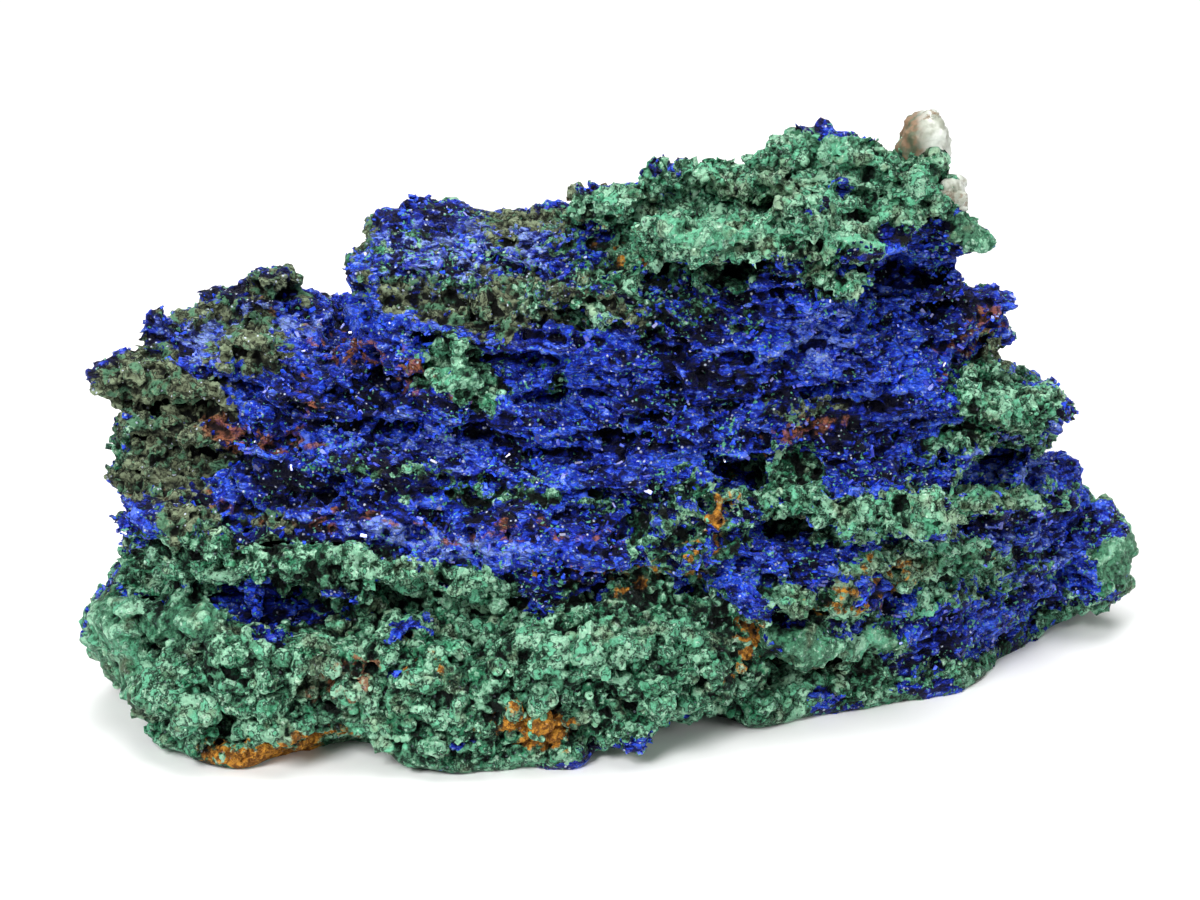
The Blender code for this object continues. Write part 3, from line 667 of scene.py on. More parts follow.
class ScatterSizes(bpy.types.PropertyGroup):
    bead_diameter: length("Bead Diameter", "Largest malachite bead", 1.5)
    bead_spread: number("Bead Spread", "Malachite beads per square centimetre of green", 14.0)
    crystal_length: length("Crystal Length", "Longest azurite crystal", 0.9)
    crystal_spread: number("Crystal Spread", "Azurite crystals per square centimetre of blue", 70.0)
    seed: bpy.props.IntProperty(name="Seed", description="Seed of the scatter", default=11)


class StageSizes(bpy.types.PropertyGroup):
    lens: number("Lens", "Focal length in mm on a 36 mm sensor", 86.23, 10.0, unit="CAMERA")
    floor: colour("Floor", "Floor and backdrop", 246, 246, 246)
    key_power: power("Key Light", "Power of the large light from the upper left", 7.4)
    fill_power: power("Fill Light", "Power of the light from the right", 1.8)
    top_power: power("Top Light", "Power of the overhead light", 6.4)
    ambient: number("Ambient", "Strength of the white surroundings", 0.22)


# --- Laying the minerals out ---------------------------------------------------------------


def point_places(mesh):
    """The mesh's points as an array, one row each, in metres."""
    places = np.empty(len(mesh.vertices) * 3, np.float32)
    mesh.vertices.foreach_get("co", places)
    return places.reshape(-1, 3)


def front_view(places):
    """Right and up (mm) of each point as seen from the front."""
    offset = places - np.array(VIEW_AIM)
    nearer = VIEW_DISTANCE / (VIEW_DISTANCE - offset @ np.array(VIEW_TOWARDS))
    return offset[:, 0] * nearer / MM, offset @ np.array(VIEW_UPWARDS) * nearer / MM


def inside(patch, right, up):
    """Distance-like value: 1 in the middle of a patch, 0 on its edge and negative outside."""
    turn = math.radians(patch.tilt)
    across, over = right - patch.right, up - patch.up
    along = across * math.cos(turn) + over * math.sin(turn)
    athwart = over * math.cos(turn) - across * math.sin(turn)
    return 1 - np.hypot(along / patch.half_length, athwart / patch.half_height)


def laid_out(mesh, borders):
    """A copy of the mesh that holds the depth (mm) in each mineral, the tints and the relief."""
    mesh = grown(mesh, borders, "laid_out_skin")
    places = point_places(mesh)
    wander = np.empty(places.size, np.float32)
    mesh.attributes["wander"].data.foreach_get("vector", wander)
    right, up = front_view(places + wander.reshape(-1, 3))
    fields = {mineral: np.full(len(right), FAR_OUTSIDE) for mineral in MINERALS}
    for patch in PATCHES:
        depth = inside(patch, right, up) * min(patch.half_length, patch.half_height)
        depth = np.minimum(depth, patch.fullness)
        for mineral, field in fields.items():
            if mineral == patch.mineral:
                np.maximum(field, depth, out=field)
            elif patch.mineral not in STAINS and mineral not in STAINS:
                np.minimum(field, -depth, out=field, where=depth > 0)
    for kind, tints in TINTS.items():
        fields[kind] = np.zeros(len(right))
        for tint in map(Spot._make, tints):
            strength = np.clip(inside(tint, right, up) * TINT_RISE, 0, 1) * tint.amount
            np.maximum(fields[kind], strength, out=fields[kind])
    fields["relief"] = np.zeros(len(right))
    for spot in map(Spot._make, RELIEFS):
        share = np.clip(inside(spot, right, up) * RELIEF_RISE, 0, 1)
        fields["relief"] += spot.amount * share
    for name, field in fields.items():
        attribute = mesh.attributes.new(name, "FLOAT", "POINT")
        attribute.data.foreach_set("value", field.astype(np.float32))
    return mesh


# --- Geometry Nodes trees ------------------------------------------------------------------


def wandering_borders(sizes):
    """Tree that stores by how much each place strays, so that no patch keeps an even border."""
    net = GeometryNet("wandering_borders")
    wide, fine = net.sizes(sizes, "wide_stray", "fine_stray")
    place = net.position()
    stray = (0, 0, 0)
    # A noise seldom strays from its middle by more than a fifth: this takes it to about 1.
    noise_reach = 5
    for size, amount in ((0.0075, wide), (0.0022, fine)):
        values = {"Vector": place, "Scale": 1 / size, "Detail": 2.0}
        cloud = net.add("ShaderNodeTexNoise", values=values)
        spread = net.vector("SUBTRACT", net.out(cloud, "Color"), (0.5, 0.5, 0.5))
        stray = net.vector("ADD", net.scaled(spread, amount * noise_reach), stray)
    net.store("wander", stray, "FLOAT_VECTOR")
    net.finish(None)
    return net


def bedding_level(net, place):
    """Height of the bedding plane through a place."""
    x, y, z = net.parts(place)
    return z + x * DIP_RIGHT - x * x * BOW - y * DIP_BACK


def front_facing(net, passes):
    """1 where the softened surface faces the front, 0 where it is turned away."""
    facing = net.vector("DOT_PRODUCT", net.blurred(net.normal(), passes), VIEW_TOWARDS)
    return net.ramp(facing, -0.2, 0.15)


def chance_and_edge(net, place, size):
    """For the cell at a place: a random number, and the distance to the cell's edge."""
    chance = net.chances(net.cells(place, size))[0]
    return chance, net.out(net.cells(place, size, "DISTANCE_TO_EDGE"))


def broken_beds(sizes):
    """Tree that breaks each bed into thin ragged plates with cracks between them."""
    net = GeometryNet("broken_beds")
    thickness, plate, throw, crack = net.sizes(
        sizes, "bed_thickness", "plate_length", "plate_throw", "crack_depth"
    )
    ragged_size, ragged = net.sizes(sizes, "ragged_size", "ragged_depth")
    gap_length, gap_thickness, gap_depth = net.sizes(
        sizes, "gap_length", "gap_thickness", "gap_depth"
    )
    cluster, cluster_gap = net.sizes(sizes, "cluster_size", "cluster_depth")
    place = net.position()
    x, y, z = net.parts(place)
    bent = (net.noise(place, 0.016) - 0.5) * 0.006
    level = bedding_level(net, place) + bent
    bedded = net.ramp(z, *BEDDED_FROM, 0.25, 1.0) * (1 - net.read("smooth") * 0.7)
    offset = (net.noise(place, ragged_size, 3.0) - 0.5) * ragged
    relief = net.read("relief") * front_facing(net, passes=10) * MM
    sheet = net.joined(x / gap_length, y / gap_length, level / gap_thickness)
    opened = net.ramp(net.noise(sheet, 1.0, 3.0), 0.38, 0.44, 1.0, 0.0)
    offset = offset - opened * gap_depth * bedded
    for share in (1.0, 0.5):
        run = plate * share
        spot = net.joined(x / run, y / run, level / (thickness * share))
        chance, edge = chance_and_edge(net, spot, 1.0)
        stand = (chance - 0.5) * throw * 2 * share
        split = net.ramp(edge, 0.0, 0.13, 1.0, 0.0) * crack * share
        offset = offset + (stand - split) * bedded
    crusted = net.maths("MAXIMUM", net.read("malachite"), net.read("olive"))
    crusted = net.ramp(crusted, -0.5, 1.0, 0.25, 1.0) * (1 - net.read("smooth"))
    crusted = crusted * net.ramp(net.read("olive"), -0.5, 0.5, 1.0, 0.5)
    bent_place = net.vector("ADD", place, net.scaled(net.read("wander", "FLOAT_VECTOR"), 0.8))
    for share in (1.0, 0.5):
        chance, edge = chance_and_edge(net, bent_place, cluster * share)
        swell = (chance - 0.5) * cluster_gap * share
        swell = swell - net.ramp(edge, 0.0, 0.17, 1.0, 0.0) * cluster_gap * share
        offset = offset + swell * crusted
    foot = net.ramp(z, 0.0005, 0.003)
    sideways = net.vector("MULTIPLY", net.normal(), (1.0, 1.0, 0.35))
    broken = net.scaled(sideways, offset * foot)
    net.shift(net.vector("ADD", broken, net.scaled(net.normal(), relief * foot)))
    net.finish(None)
    return net


def dome(net, place, size):
    """Rounded lump in every cell: 0 in the creases, up to 1 on top, and lower in some cells."""
    width, uneven = 0.72, 0.8
    cell = net.cells(place, size)
    top = net.maths("SQRT", net.maths("MAXIMUM", 1 - (net.out(cell) / width) ** 2, 0.0))
    return top * (1 - net.chances(cell)[0] * uneven)


def tilted_blocks(net, place, size):
    """Flat-topped cells, each tilted its own way: about -0.5 to 0.5."""
    cell = net.cells(place, size)
    random = net.vector("SUBTRACT", net.out(cell, "Color"), (0.5, 0.5, 0.5))
    local = net.scaled(net.vector("SUBTRACT", place, net.out(cell, "Position")), 1 / size)
    return net.vector("DOT_PRODUCT", local, random) + net.parts(random)[0] * 0.6


# How each mineral spreads behind the front: shift of its noise, noise size, the level that the
# noise has to pass, and depth (mm) for each unit above that level.
SPREADS = {
    "malachite": ((0, 0, 0), 0.011, 0.5, 34),
    "olive": ((0.3, 0, 0), 0.012, 0.56, 30),
    "limonite": ((0, 0.3, 0), 0.009, 0.66, 30),
    "rust": ((0, 0, 0.3), 0.007, 0.68, 24),
}


def grown_minerals(sizes, material):
    """Tree that finishes the mineral fields behind the front and grows each mineral's surface."""
    net = GeometryNet("grown_minerals")
    lump_size, lump_height = net.sizes(sizes, "lump_size", "lump_height")
    grain_size, grain_height = net.sizes(sizes, "grain_size", "grain_height")
    block_size, block_height = net.sizes(sizes, "block_size", "block_height")
    lamina, lamina_height = net.sizes(sizes, "lamina_thickness", "lamina_height")
    pit_size, pit_depth = net.sizes(sizes, "pit_size", "pit_depth")
    place = net.position()
    x, y, z = net.parts(place)
    level = bedding_level(net, place)
    front = front_facing(net, passes=14)
    banks = net.ramp(level, *MASS_ENDS, 3.0, -2.0) + net.ramp(level, *CAP_BEGINS, 0.0, 5.0)
    for mineral, (shift, size, least, slope) in SPREADS.items():
        field = (net.noise(net.vector("ADD", place, shift), size, 3.0) - least) * slope
        if mineral == "malachite":
            field = field + banks
        net.store(mineral, net.mix_value(front, field, net.read(mineral)))
    border = (net.noise(place, 0.0025, 3.0) - 0.5) * 3.0
    green = net.ramp(net.read("malachite") + border, -0.5, 0.7)
    olive = net.ramp(net.read("olive") - border, -0.5, 0.7)
    blue = net.maths("MAXIMUM", 1 - green - olive, 0.0)
    crust = net.maths("MINIMUM", green + olive, 1.0)
    rough = 1 - net.read("smooth")
    ball = net.maths("MAXIMUM", net.read("round"), net.ramp(level, *MASS_ENDS, 1.0, 0.0))
    bent = net.vector("ADD", place, net.scaled(net.read("wander", "FLOAT_VECTOR"), 0.25))
    lumps = dome(net, bent, lump_size) * lump_height * green * (ball * 0.8 + 0.2)
    chunks = tilted_blocks(net, bent, lump_size * 1.3) * 1.6
    chunks = chunks + tilted_blocks(net, bent, lump_size * 0.7)
    chunks = chunks * lump_height * crust * (1 - ball * 0.5)
    lumps = (lumps + chunks) * (rough * 0.9 + 0.1)
    rounded = dome(net, place, grain_size) * ball * 0.6
    grains = ((net.noise(place, grain_size, 3.0, 0.6) - 0.5) * 2.4 + rounded) * grain_height
    grains = grains * crust * (rough * 0.85 + 0.15)
    blocks = (
        tilted_blocks(net, place, block_size) * block_height
        + tilted_blocks(net, place, block_size * 0.55) * block_height * 0.5
    ) * blue
    sheet = net.joined(x / 0.006, y / 0.006, level / lamina)
    laminae = (net.noise(sheet, 1.0) - 0.5) * lamina_height * 2
    laminae = laminae * (blue * 0.8 + olive * 0.7 + 0.1)
    pits = net.ramp(net.noise(place, pit_size), 0.55, 0.68) * pit_depth
    pits = pits * (green * 0.6 + olive * 0.35 + blue * 0.45) * rough
    foot = net.ramp(z, 0.0003, 0.002)
    net.shift(net.scaled(net.normal(), (lumps + grains + blocks + laminae - pits) * foot))
    # How far each place lies below or above its softened surroundings; the finish paints highlights
    # on the ridges and shade into the hollows from these.
    for name, passes, depth in (("hollow_fine", 5, 0.00022), ("hollow_wide", 45, 0.0011)):
        sunk = net.vector("SUBTRACT", net.blurred(net.position(), passes), net.position())
        net.store(name, net.vector("DOT_PRODUCT", sunk, net.normal()) / depth)
    net.store("soft_place", net.blurred(net.position(), passes=60), "FLOAT_VECTOR")
    net.finish(material)
    return net


# --- Materials -----------------------------------------------------------------------------

# Fixed tones of what is too small or too dark to be worth a choice in the panel.
# The two blacks are the lowest tones of the blue and the green: dark bands at random, and painted
# shade in the hollows.
BLUE_BLACK = srgb(4, 4, 34)
BLUE_CRACK = srgb(3, 3, 22)
# Painted sparkle on the azurite.
BLUE_PAINTED_SPARKLE = srgb(176, 204, 222)
GREEN_BLACK = srgb(6, 16, 11)
GREEN_CRACK = srgb(8, 18, 13)
# Painted sparkle on the malachite.
GREEN_PAINTED_SPARKLE = srgb(206, 232, 212)
GLINT = srgb(215, 225, 245)
# Near black for the painted shade in wide hollows and under the shade tint.
PAINTED_HOLLOW_SHADE = srgb(4, 4, 9)
QUARTZ_CLOUD = srgb(150, 154, 140)


class Finish(Net):
    """A material's shader tree with a Principled BSDF at its end."""

    def __init__(self, name):
        self.material = bpy.data.materials.new(name)
        self.material.use_nodes = True
        super().__init__(self.material.node_tree)
        self.shader = self.tree.nodes["Principled BSDF"]
        self.place = self.out(self.add("ShaderNodeTexCoord"), "Object")

    def read(self, name):
        return self.out(self.add("ShaderNodeAttribute", {"attribute_name": name}), "Fac")

    def moved(self, x, y, z):
        """The place shifted, so that a texture doesn't repeat another."""
        return self.vector("ADD", self.place, (x, y, z))

    def set(self, socket, value):
        """Link or set one socket of the shader."""
        if isinstance(value, Wire):
            self.tree.links.new(value.socket, self.shader.inputs[socket])
        else:
            self.shader.inputs[socket].default_value = value

    def bump(self, height, distance, strength):
        values = {"Height": height, "Distance": distance, "Strength": strength}
        self.set("Normal", self.out(self.add("ShaderNodeBump", values=values)))


def grains_of(net, size):
    """Pebbly grains: body is 1 on a grain and 0 in the gaps; chance varies from grain to grain."""
    cell = net.cells(net.place, size)
    return net.ramp(net.out(cell), 0.34, 0.64, 1.0, 0.0), net.chances(cell)[2]


def cracks(net, value, width):
    """1 along the thin wandering lines where a noise passes its middle value."""
    return net.ramp(net.maths("ABSOLUTE", value - 0.5), 0.0, width, 1.0, 0.0)


def azurite_colour(net, tones, ridge_highlight, hollow_shade, bright, sheen):
    """Thin-bedded blue: bright faces, a pale painted sheen on ridges and tops, near black between
    the sheets and in the painted shade of hollows.
    """
    x, y, _ = net.parts(net.place)
    level = bedding_level(net, net.place)
    streaks = net.noise(net.joined(x / 0.0015, y / 0.0015, level / 0.0005), 1.0, 5.0, 0.7)
    sheets = net.noise(net.joined(x / 0.006, y / 0.006, level / 0.0016), 1.0, 3.0)
    chips = net.cells(net.joined(x / 0.0011, y / 0.0011, level / 0.0006), 1.0)
    chip = net.chances(chips)[0]
    cloud = net.noise(net.joined(x / 0.012, y / 0.012, level / 0.0045), 1.0, 3.0)
    tone = (streaks - 0.5) * 2.4 + (sheets - 0.5) * 2.4 + (chip - 0.5) * 0.8 + (cloud - 0.5) * 2.2
    # The tone mixes random banding with painted light: painted highlights on ridges, the bright
    # tint and the sheen tint raise it, and painted shade in the hollows lowers it.
    tone = tone * (1 - bright * 0.3) + ridge_highlight * 0.5 + bright * 0.5
    tone = tone + sheen * 0.25 - hollow_shade * 0.6 + 0.5
    blue = net.mix_colour(net.ramp(tone, 0.0, 0.4), BLUE_BLACK, tones.azurite_deep)
    blue = net.mix_colour(net.ramp(tone, 0.35, 0.75), blue, tones.azurite_mid)
    blue = net.mix_colour(net.ramp(tone, 0.75, 1.2), blue, tones.azurite_bright)
    # Painted sheen on the ridges and under the sheen tint, broken up by pale streaks in the azurite
    # itself.
    sheen_and_pale_streaks = net.ramp(ridge_highlight * 0.35 + sheen * 0.55 + (streaks - 0.5) * 2.0 + tone * 0.5, 0.7, 1.4)
    blue = net.mix_colour(sheen_and_pale_streaks * (sheen * 0.45 + 0.4), blue, tones.azurite_sheen)
    # Painted sparkle: tiny pale flecks on the lighter tones of the blue, a few more under the sheen
    # tint.
    sparkle_flecks = net.noise(net.place, 0.0004, 3.0, 0.6) + sheen * 0.02
    sparkle_flecks = net.ramp(sparkle_flecks, 0.58, 0.65) * net.ramp(tone, 0.4, 1.0)
    blue = net.mix_colour(sparkle_flecks * 0.7, blue, BLUE_PAINTED_SPARKLE)
    split = net.maths("MAXIMUM", cracks(net, sheets, 0.03), cracks(net, streaks, 0.035) * 0.7)
    return net.mix_colour(split * 0.85, blue, BLUE_CRACK), (streaks, chips, split)


def malachite_colour(net, tones, ridge_highlight, hollow_shade, pale, earth, smooth):
    """Granular green crust: painted mint highlights on the ridges, dark in the cracks, painted
    shade in the hollows, earthy in places.
    """
    place = net.moved(0.1, 0, 0)
    grit = net.noise(place, 0.0007, 4.0, 0.75)
    crumbs = net.noise(place, 0.0018, 4.0, 0.6)
    cloud = net.noise(place, 0.006, 3.0)
    tone = (grit - 0.5) * 2.2 + (crumbs - 0.5) * 2.0 + (cloud - 0.5) * 2.6
    # The tone mixes random grain with painted light: painted highlights on ridges and the pale tint
    # raise it, and painted shade in the hollows lowers it.
    tone = tone * (1 - smooth * 0.55) + ridge_highlight * 0.5 + pale * 0.58
    tone = tone - hollow_shade * 0.5 - smooth * 0.1 + 0.5
    patchy = net.noise(net.moved(0, 0.1, 0), 0.0035, 3.0)
    drab = net.ramp((patchy - 0.5) * 2.8 + earth * 0.7, 0.1, 0.5)
    body = net.mix_colour(drab * 0.8, tones.malachite_mid, tones.olive_mid)
    deep = net.ramp(net.noise(net.moved(0, 0, 0.1), 0.0026, 3.0, 0.6), 0.5, 0.6)
    deep = deep * (1 - smooth * 0.6)
    body = net.mix_colour(deep * 0.85, body, tones.malachite_emerald)
    green = net.mix_colour(net.ramp(tone, 0.0, 0.3), GREEN_BLACK, tones.malachite_dark)
    green = net.mix_colour(net.ramp(tone, 0.2, 0.6), green, body)
    # The pale greens, reached at random, under the pale tint and where ridges are painted lighter.
    light = net.mix_colour(net.ramp(crumbs, 0.42, 0.6), tones.malachite_teal, tones.malachite_pale)
    light = net.mix_colour(drab * 0.6, light, tones.olive_pale)
    light = net.mix_colour(deep * 0.35, light, tones.malachite_emerald)
    green = net.mix_colour(net.ramp(tone, 0.6, 1.15), green, light)
    # Painted sparkle: tiny pale flecks on the lighter tones of the green.
    sparkle_flecks = net.ramp(net.noise(place, 0.00045, 3.0, 0.6), 0.6, 0.66) * net.ramp(tone, 0.4, 1.0)
    green = net.mix_colour(sparkle_flecks * 0.6, green, GREEN_PAINTED_SPARKLE)
    split = net.maths("MAXIMUM", cracks(net, crumbs, 0.03), net.ramp(grit, 0.38, 0.44, 1.0, 0.0))
    split = split * (1 - smooth * 0.8)
    return net.mix_colour(split * 0.85, green, GREEN_CRACK), (grit, crumbs, split)


def crust_material(tones):
    """One finish for the whole crust: the mineral fields choose what shows where."""
    net = Finish("azurite_crust_finish")
    fine = net.read("hollow_fine")
    wide = net.read("hollow_wide")
    # Painted light from the surface's shape: ridges are painted lighter and hollows painted darker.
    ridge_highlight = net.ramp(fine, -1.2, 0.0, 1.0, 0.0)
    hollow_shade = net.ramp(fine + wide * 0.6, 0.1, 1.3)
    pebble, pebble_chance = grains_of(net, 0.0009)
    speck, speck_chance = grains_of(net, 0.0003)
    fray = net.noise(net.place, 0.0022, 4.0, 0.6)
    border = (fray - 0.5) * 4.0 + (pebble_chance - 0.5) * 1.2
    green = net.ramp(net.read("malachite") + border, 0.0, 0.15)
    olive = net.ramp(net.read("olive") - border, -0.1, 0.2)
    ochre = net.ramp(net.read("limonite") + border, -0.2, 0.3)
    rust = net.ramp(net.read("rust") - border, -0.2, 0.4)

    surface, (streaks, chips, split) = azurite_colour(
        net, tones, ridge_highlight, hollow_shade, net.read("bright"), net.read("sheen")
    )
    malachite, (grit, crumbs, crumbled) = malachite_colour(
        net, tones, ridge_highlight, hollow_shade, net.read("pale"), net.read("earth"), net.read("smooth")
    )
    near_green = net.ramp(net.read("malachite"), -7.0, -1.0, 0.15, 1.0)
    strewn = net.ramp(net.noise(net.place, 0.004), 0.42, 0.62) * near_green
    sparks = net.ramp(net.noise(net.place, 0.0005) + strewn * 0.09, 0.68, 0.71)
    surface = net.mix_colour(sparks, surface, tones.malachite_teal)
    surface = net.mix_colour(green, surface, malachite)
    # Olive crust paler on random grains and where ridges are painted lighter.
    light = net.ramp((grit - 0.5) * 1.6 + ridge_highlight * 0.4 + 0.4, 0.2, 1.0)
    crust = net.mix_colour(light, tones.olive_mid, tones.olive_pale)
    crust = net.mix_colour(net.ramp(crumbs, 0.5, 0.6) * 0.8, crust, tones.malachite_mid)
    # Painted shade in the hollows, together with the dark cracks of the crust, darkens the olive
    # crust, the rust stain and the limonite.
    hollow_shade_and_cracks = net.maths("MAXIMUM", hollow_shade, crumbled * 0.85)
    crust = net.mix_colour(hollow_shade_and_cracks, crust, tones.olive_dark)
    surface = net.mix_colour(olive, surface, crust)
    stain = net.mix_colour(hollow_shade_and_cracks, tones.rust, tones.rust_dark)
    surface = net.mix_colour(rust * 0.85, surface, stain)
    earth = net.mix_colour(net.ramp(grit, 0.4, 0.62), tones.limonite_dark, tones.limonite)
    earth = net.mix_colour(hollow_shade_and_cracks, earth, tones.limonite_dark)
    surface = net.mix_colour(ochre, surface, earth)
    glints = net.ramp(speck_chance, 0.972, 0.976) * speck * (1 - green * 0.8)
    surface = net.mix_colour(glints * 0.9, surface, GLINT)
    # Painted shade: wide hollows and the shade tint are darkened towards near black.
    sunk = net.ramp(wide, 0.15, 1.6, 0.0, 0.94) + net.read("shade") * 0.35
    sunk = net.maths("MINIMUM", sunk, 1.0)
    net.set("Base Color", net.mix_colour(sunk, surface, PAINTED_HOLLOW_SHADE))

    dull = net.maths("MINIMUM", ochre + rust + olive, 1.0)
    shine = net.mix_value(green, pebble_chance * 0.4 + 0.15, 0.5)
    net.set("Roughness", net.mix_value(dull, shine, 0.85))
    net.set("Specular IOR Level", 0.25)
    sheeted = streaks * 2.0 + net.chances(chips)[1] * 0.4 - split * 0.5
    pebbly = grit * 1.2 + crumbs * 1.2 + pebble * 0.35 - crumbled * 0.6
    crusted = net.maths("MINIMUM", green + dull, 1.0)
    net.bump(net.mix_value(crusted, sheeted, pebbly), 0.0006, 1.0)
    return net.material


def bead_material(tones):
    """Malachite beads in the crust's own green."""
    net = Finish("malachite_bead_finish")
    cloud = net.noise(net.place, 0.003, 3.0)
    # The beads get painted highlights where a cloud rises, and a little painted shade lies over all
    # of them.
    ridge_highlight = net.ramp(cloud, 0.4, 0.65, 0.2, 1.0)
    green, (grit, crumbs, split) = malachite_colour(
        net, tones, ridge_highlight, 0.2, cloud, cloud * 0.5, 0.0
    )
    net.set("Base Color", green)
    net.set("Roughness", grit * 0.4 + 0.3)
    net.set("Specular IOR Level", 0.25)
    net.bump(grit + crumbs - split * 0.5, 0.0003, 0.8)
    return net.material


def crystal_material(tones):
    """Bright azurite crystals with glassy faces."""
    net = Finish("azurite_crystal_finish")
    depth, brightness, gloss = net.chances(net.cells(net.place, 0.0012))
    blue = net.mix_colour(depth, tones.azurite_deep, tones.azurite_mid)
    blue = net.mix_colour(net.ramp(brightness, 0.5, 1.0), blue, tones.azurite_bright)
    net.set("Base Color", blue)
    net.set("Roughness", net.ramp(gloss, 0.0, 1.0, 0.08, 0.35))
    net.set("IOR", 1.75)
    return net.material


def quartz_material(tones):
    """Milky quartz, cloudy inside, with a brown and green stain towards its left."""
    net = Finish("milky_quartz_finish")
    x, _, z = net.parts(net.place)
    cloud = net.noise(net.place, 0.0022, 4.0)
    rim = net.ramp(cloud * 0.004 - x + STAIN_LEFT, -0.0006, 0.0012)
    specks = net.ramp(net.noise(net.place, 0.0009, 4.0, 0.7), 0.5, 0.62)
    stain = net.maths("MAXIMUM", rim, specks * net.ramp(z, *STAIN_FOOT) * 0.7)
    top = net.ramp(z + cloud * 0.004, *STAIN_TOP)
    stain = net.maths("MAXIMUM", stain, top * specks)
    milk = net.mix_colour(net.ramp(cloud, 0.35, 0.65), QUARTZ_CLOUD, tones.quartz)
    greened = net.ramp(net.noise(net.place, 0.0012), 0.4, 0.6)
    shade = net.mix_colour(greened, tones.quartz_stain, tones.olive_mid)
    net.set("Base Color", net.mix_colour(stain, milk, shade))
    net.set("Roughness", net.mix_value(stain, 0.32, 0.75))
    net.set("Subsurface Weight", 0.35)
    net.set("Subsurface Radius", (1.0, 1.0, 1.0))
    net.set("Subsurface Scale", 0.0012)
    net.bump(net.noise(net.place, 0.0007, 4.0), 0.00025, 0.8)
    return net.material


# --- Pieces --------------------------------------------------------------------------------


def place_piece(name, mesh, replaced=False):
    """Put a finished mesh in the scene as a piece of the specimen."""
    piece = bpy.data.objects.new(name, mesh)
    bpy.context.scene.collection.objects.link(piece)
    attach(piece, BODY)
    if replaced:
        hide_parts(NODE)
    return piece


def solid_skin():
    """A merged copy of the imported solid's loose triangles."""
    shell = bmesh.new()
    shell.from_mesh(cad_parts[NODE].data)
    bmesh.ops.remove_doubles(shell, verts=shell.verts, dist=1e-6)
    skin = bpy.data.meshes.new("solid_skin")
    shell.to_mesh(skin)
    shell.free()
    return skin


def cut_off(shell, level, keep_above):
    """Cut a closed shell at a level and close it there with a flat lid."""
    everything = shell.verts[:] + shell.edges[:] + shell.faces[:]
    bmesh.ops.bisect_plane(
        shell, geom=everything, plane_co=(0, 0, level), plane_no=(0, 0, 1),
        clear_inner=keep_above, clear_outer=not keep_above,
    )
    rim = [edge for edge in shell.edges if edge.is_boundary]
    bmesh.ops.holes_fill(shell, edges=rim, sides=0)


def cut_beds(whole):
    """Cut the grown crust into closed beds, from the foot to the cap."""
    edges = (None, *[level * MM for level in CUT_LEVELS], None)
    beds = []
    for number, (lower, upper) in enumerate(zip(edges, edges[1:])):
        shell = bmesh.new()
        shell.from_mesh(whole)
        if lower is not None:
            cut_off(shell, lower, keep_above=True)
        if upper is not None:
            cut_off(shell, upper, keep_above=False)
        bed = bpy.data.meshes.new(f"crust_bed_{number + 1}")
        shell.to_mesh(bed)
        shell.free()
        beds.append(bed)
    return beds


def map_for_baking(piece):
    """Lay a piece's bake map out on its softened shape, which gives few, large islands."""
    mesh = piece.data
    rough = point_places(mesh)
    soft = np.empty(rough.size, np.float32)
    mesh.attributes["soft_place"].data.foreach_get("vector", soft)
    mesh.vertices.foreach_set("co", soft)
    mesh.uv_layers.new(name=BAKE_MAP)
    bpy.ops.object.select_all(action="DESELECT")
    piece.select_set(True)
    bpy.context.view_layer.objects.active = piece
    bpy.ops.object.mode_set(mode="EDIT")
    bpy.ops.mesh.select_all(action="SELECT")
    bpy.ops.uv.smart_project(
        angle_limit=ISLAND_ANGLE, island_margin=ISLAND_MARGIN, scale_to_bounds=True
    )
    bpy.ops.object.mode_set(mode="OBJECT")
    mesh.vertices.foreach_set("co", rough.ravel())
    mesh.attributes.remove(mesh.attributes["soft_place"])
    mesh.update()


class SPECIMEN_OT_grow_crust(bpy.types.Operator):
    """Break the beds, lay the minerals, grow their surfaces and cut the crust into beds"""

    bl_idname = "specimen.grow_crust"
    bl_label = "Grow Crust"

    def execute(self, context):
        sizes = context.scene.specimen_crust
        material = crust_material(context.scene.specimen_colours)
        borders = wandering_borders(sizes)
        skin = remeshed(solid_skin(), sizes.coarse_voxel, "coarse_skin")
        skin = laid_out(skin, borders)
        skin = grown(skin, broken_beds(sizes), "broken_skin")
        skin = remeshed(skin, sizes.fine_voxel, "fine_skin")
        skin = laid_out(skin, borders)
        whole = grown(skin, grown_minerals(sizes, material), "grown_crust")
        whole.use_fake_user = True
        for bed in cut_beds(whole):
            bed.materials.append(material)
            bed.shade_smooth()
            bed.set_sharp_from_angle(angle=SHARP_ANGLE)
            map_for_baking(place_piece(bed.name, bed, replaced=True))
        return {"FINISHED"}


# A kind of small growth: its piece's name, the function that makes its shape, its smallest size
# as a share of its largest, whether it lies along the crust, and the function that says where.
Growth = namedtuple("Growth", "name shape smallest lies_flat where")
# The panel counts growths by the square centimetre, and the tree by the square metre.
PER_SQUARE_METRE = 1e4


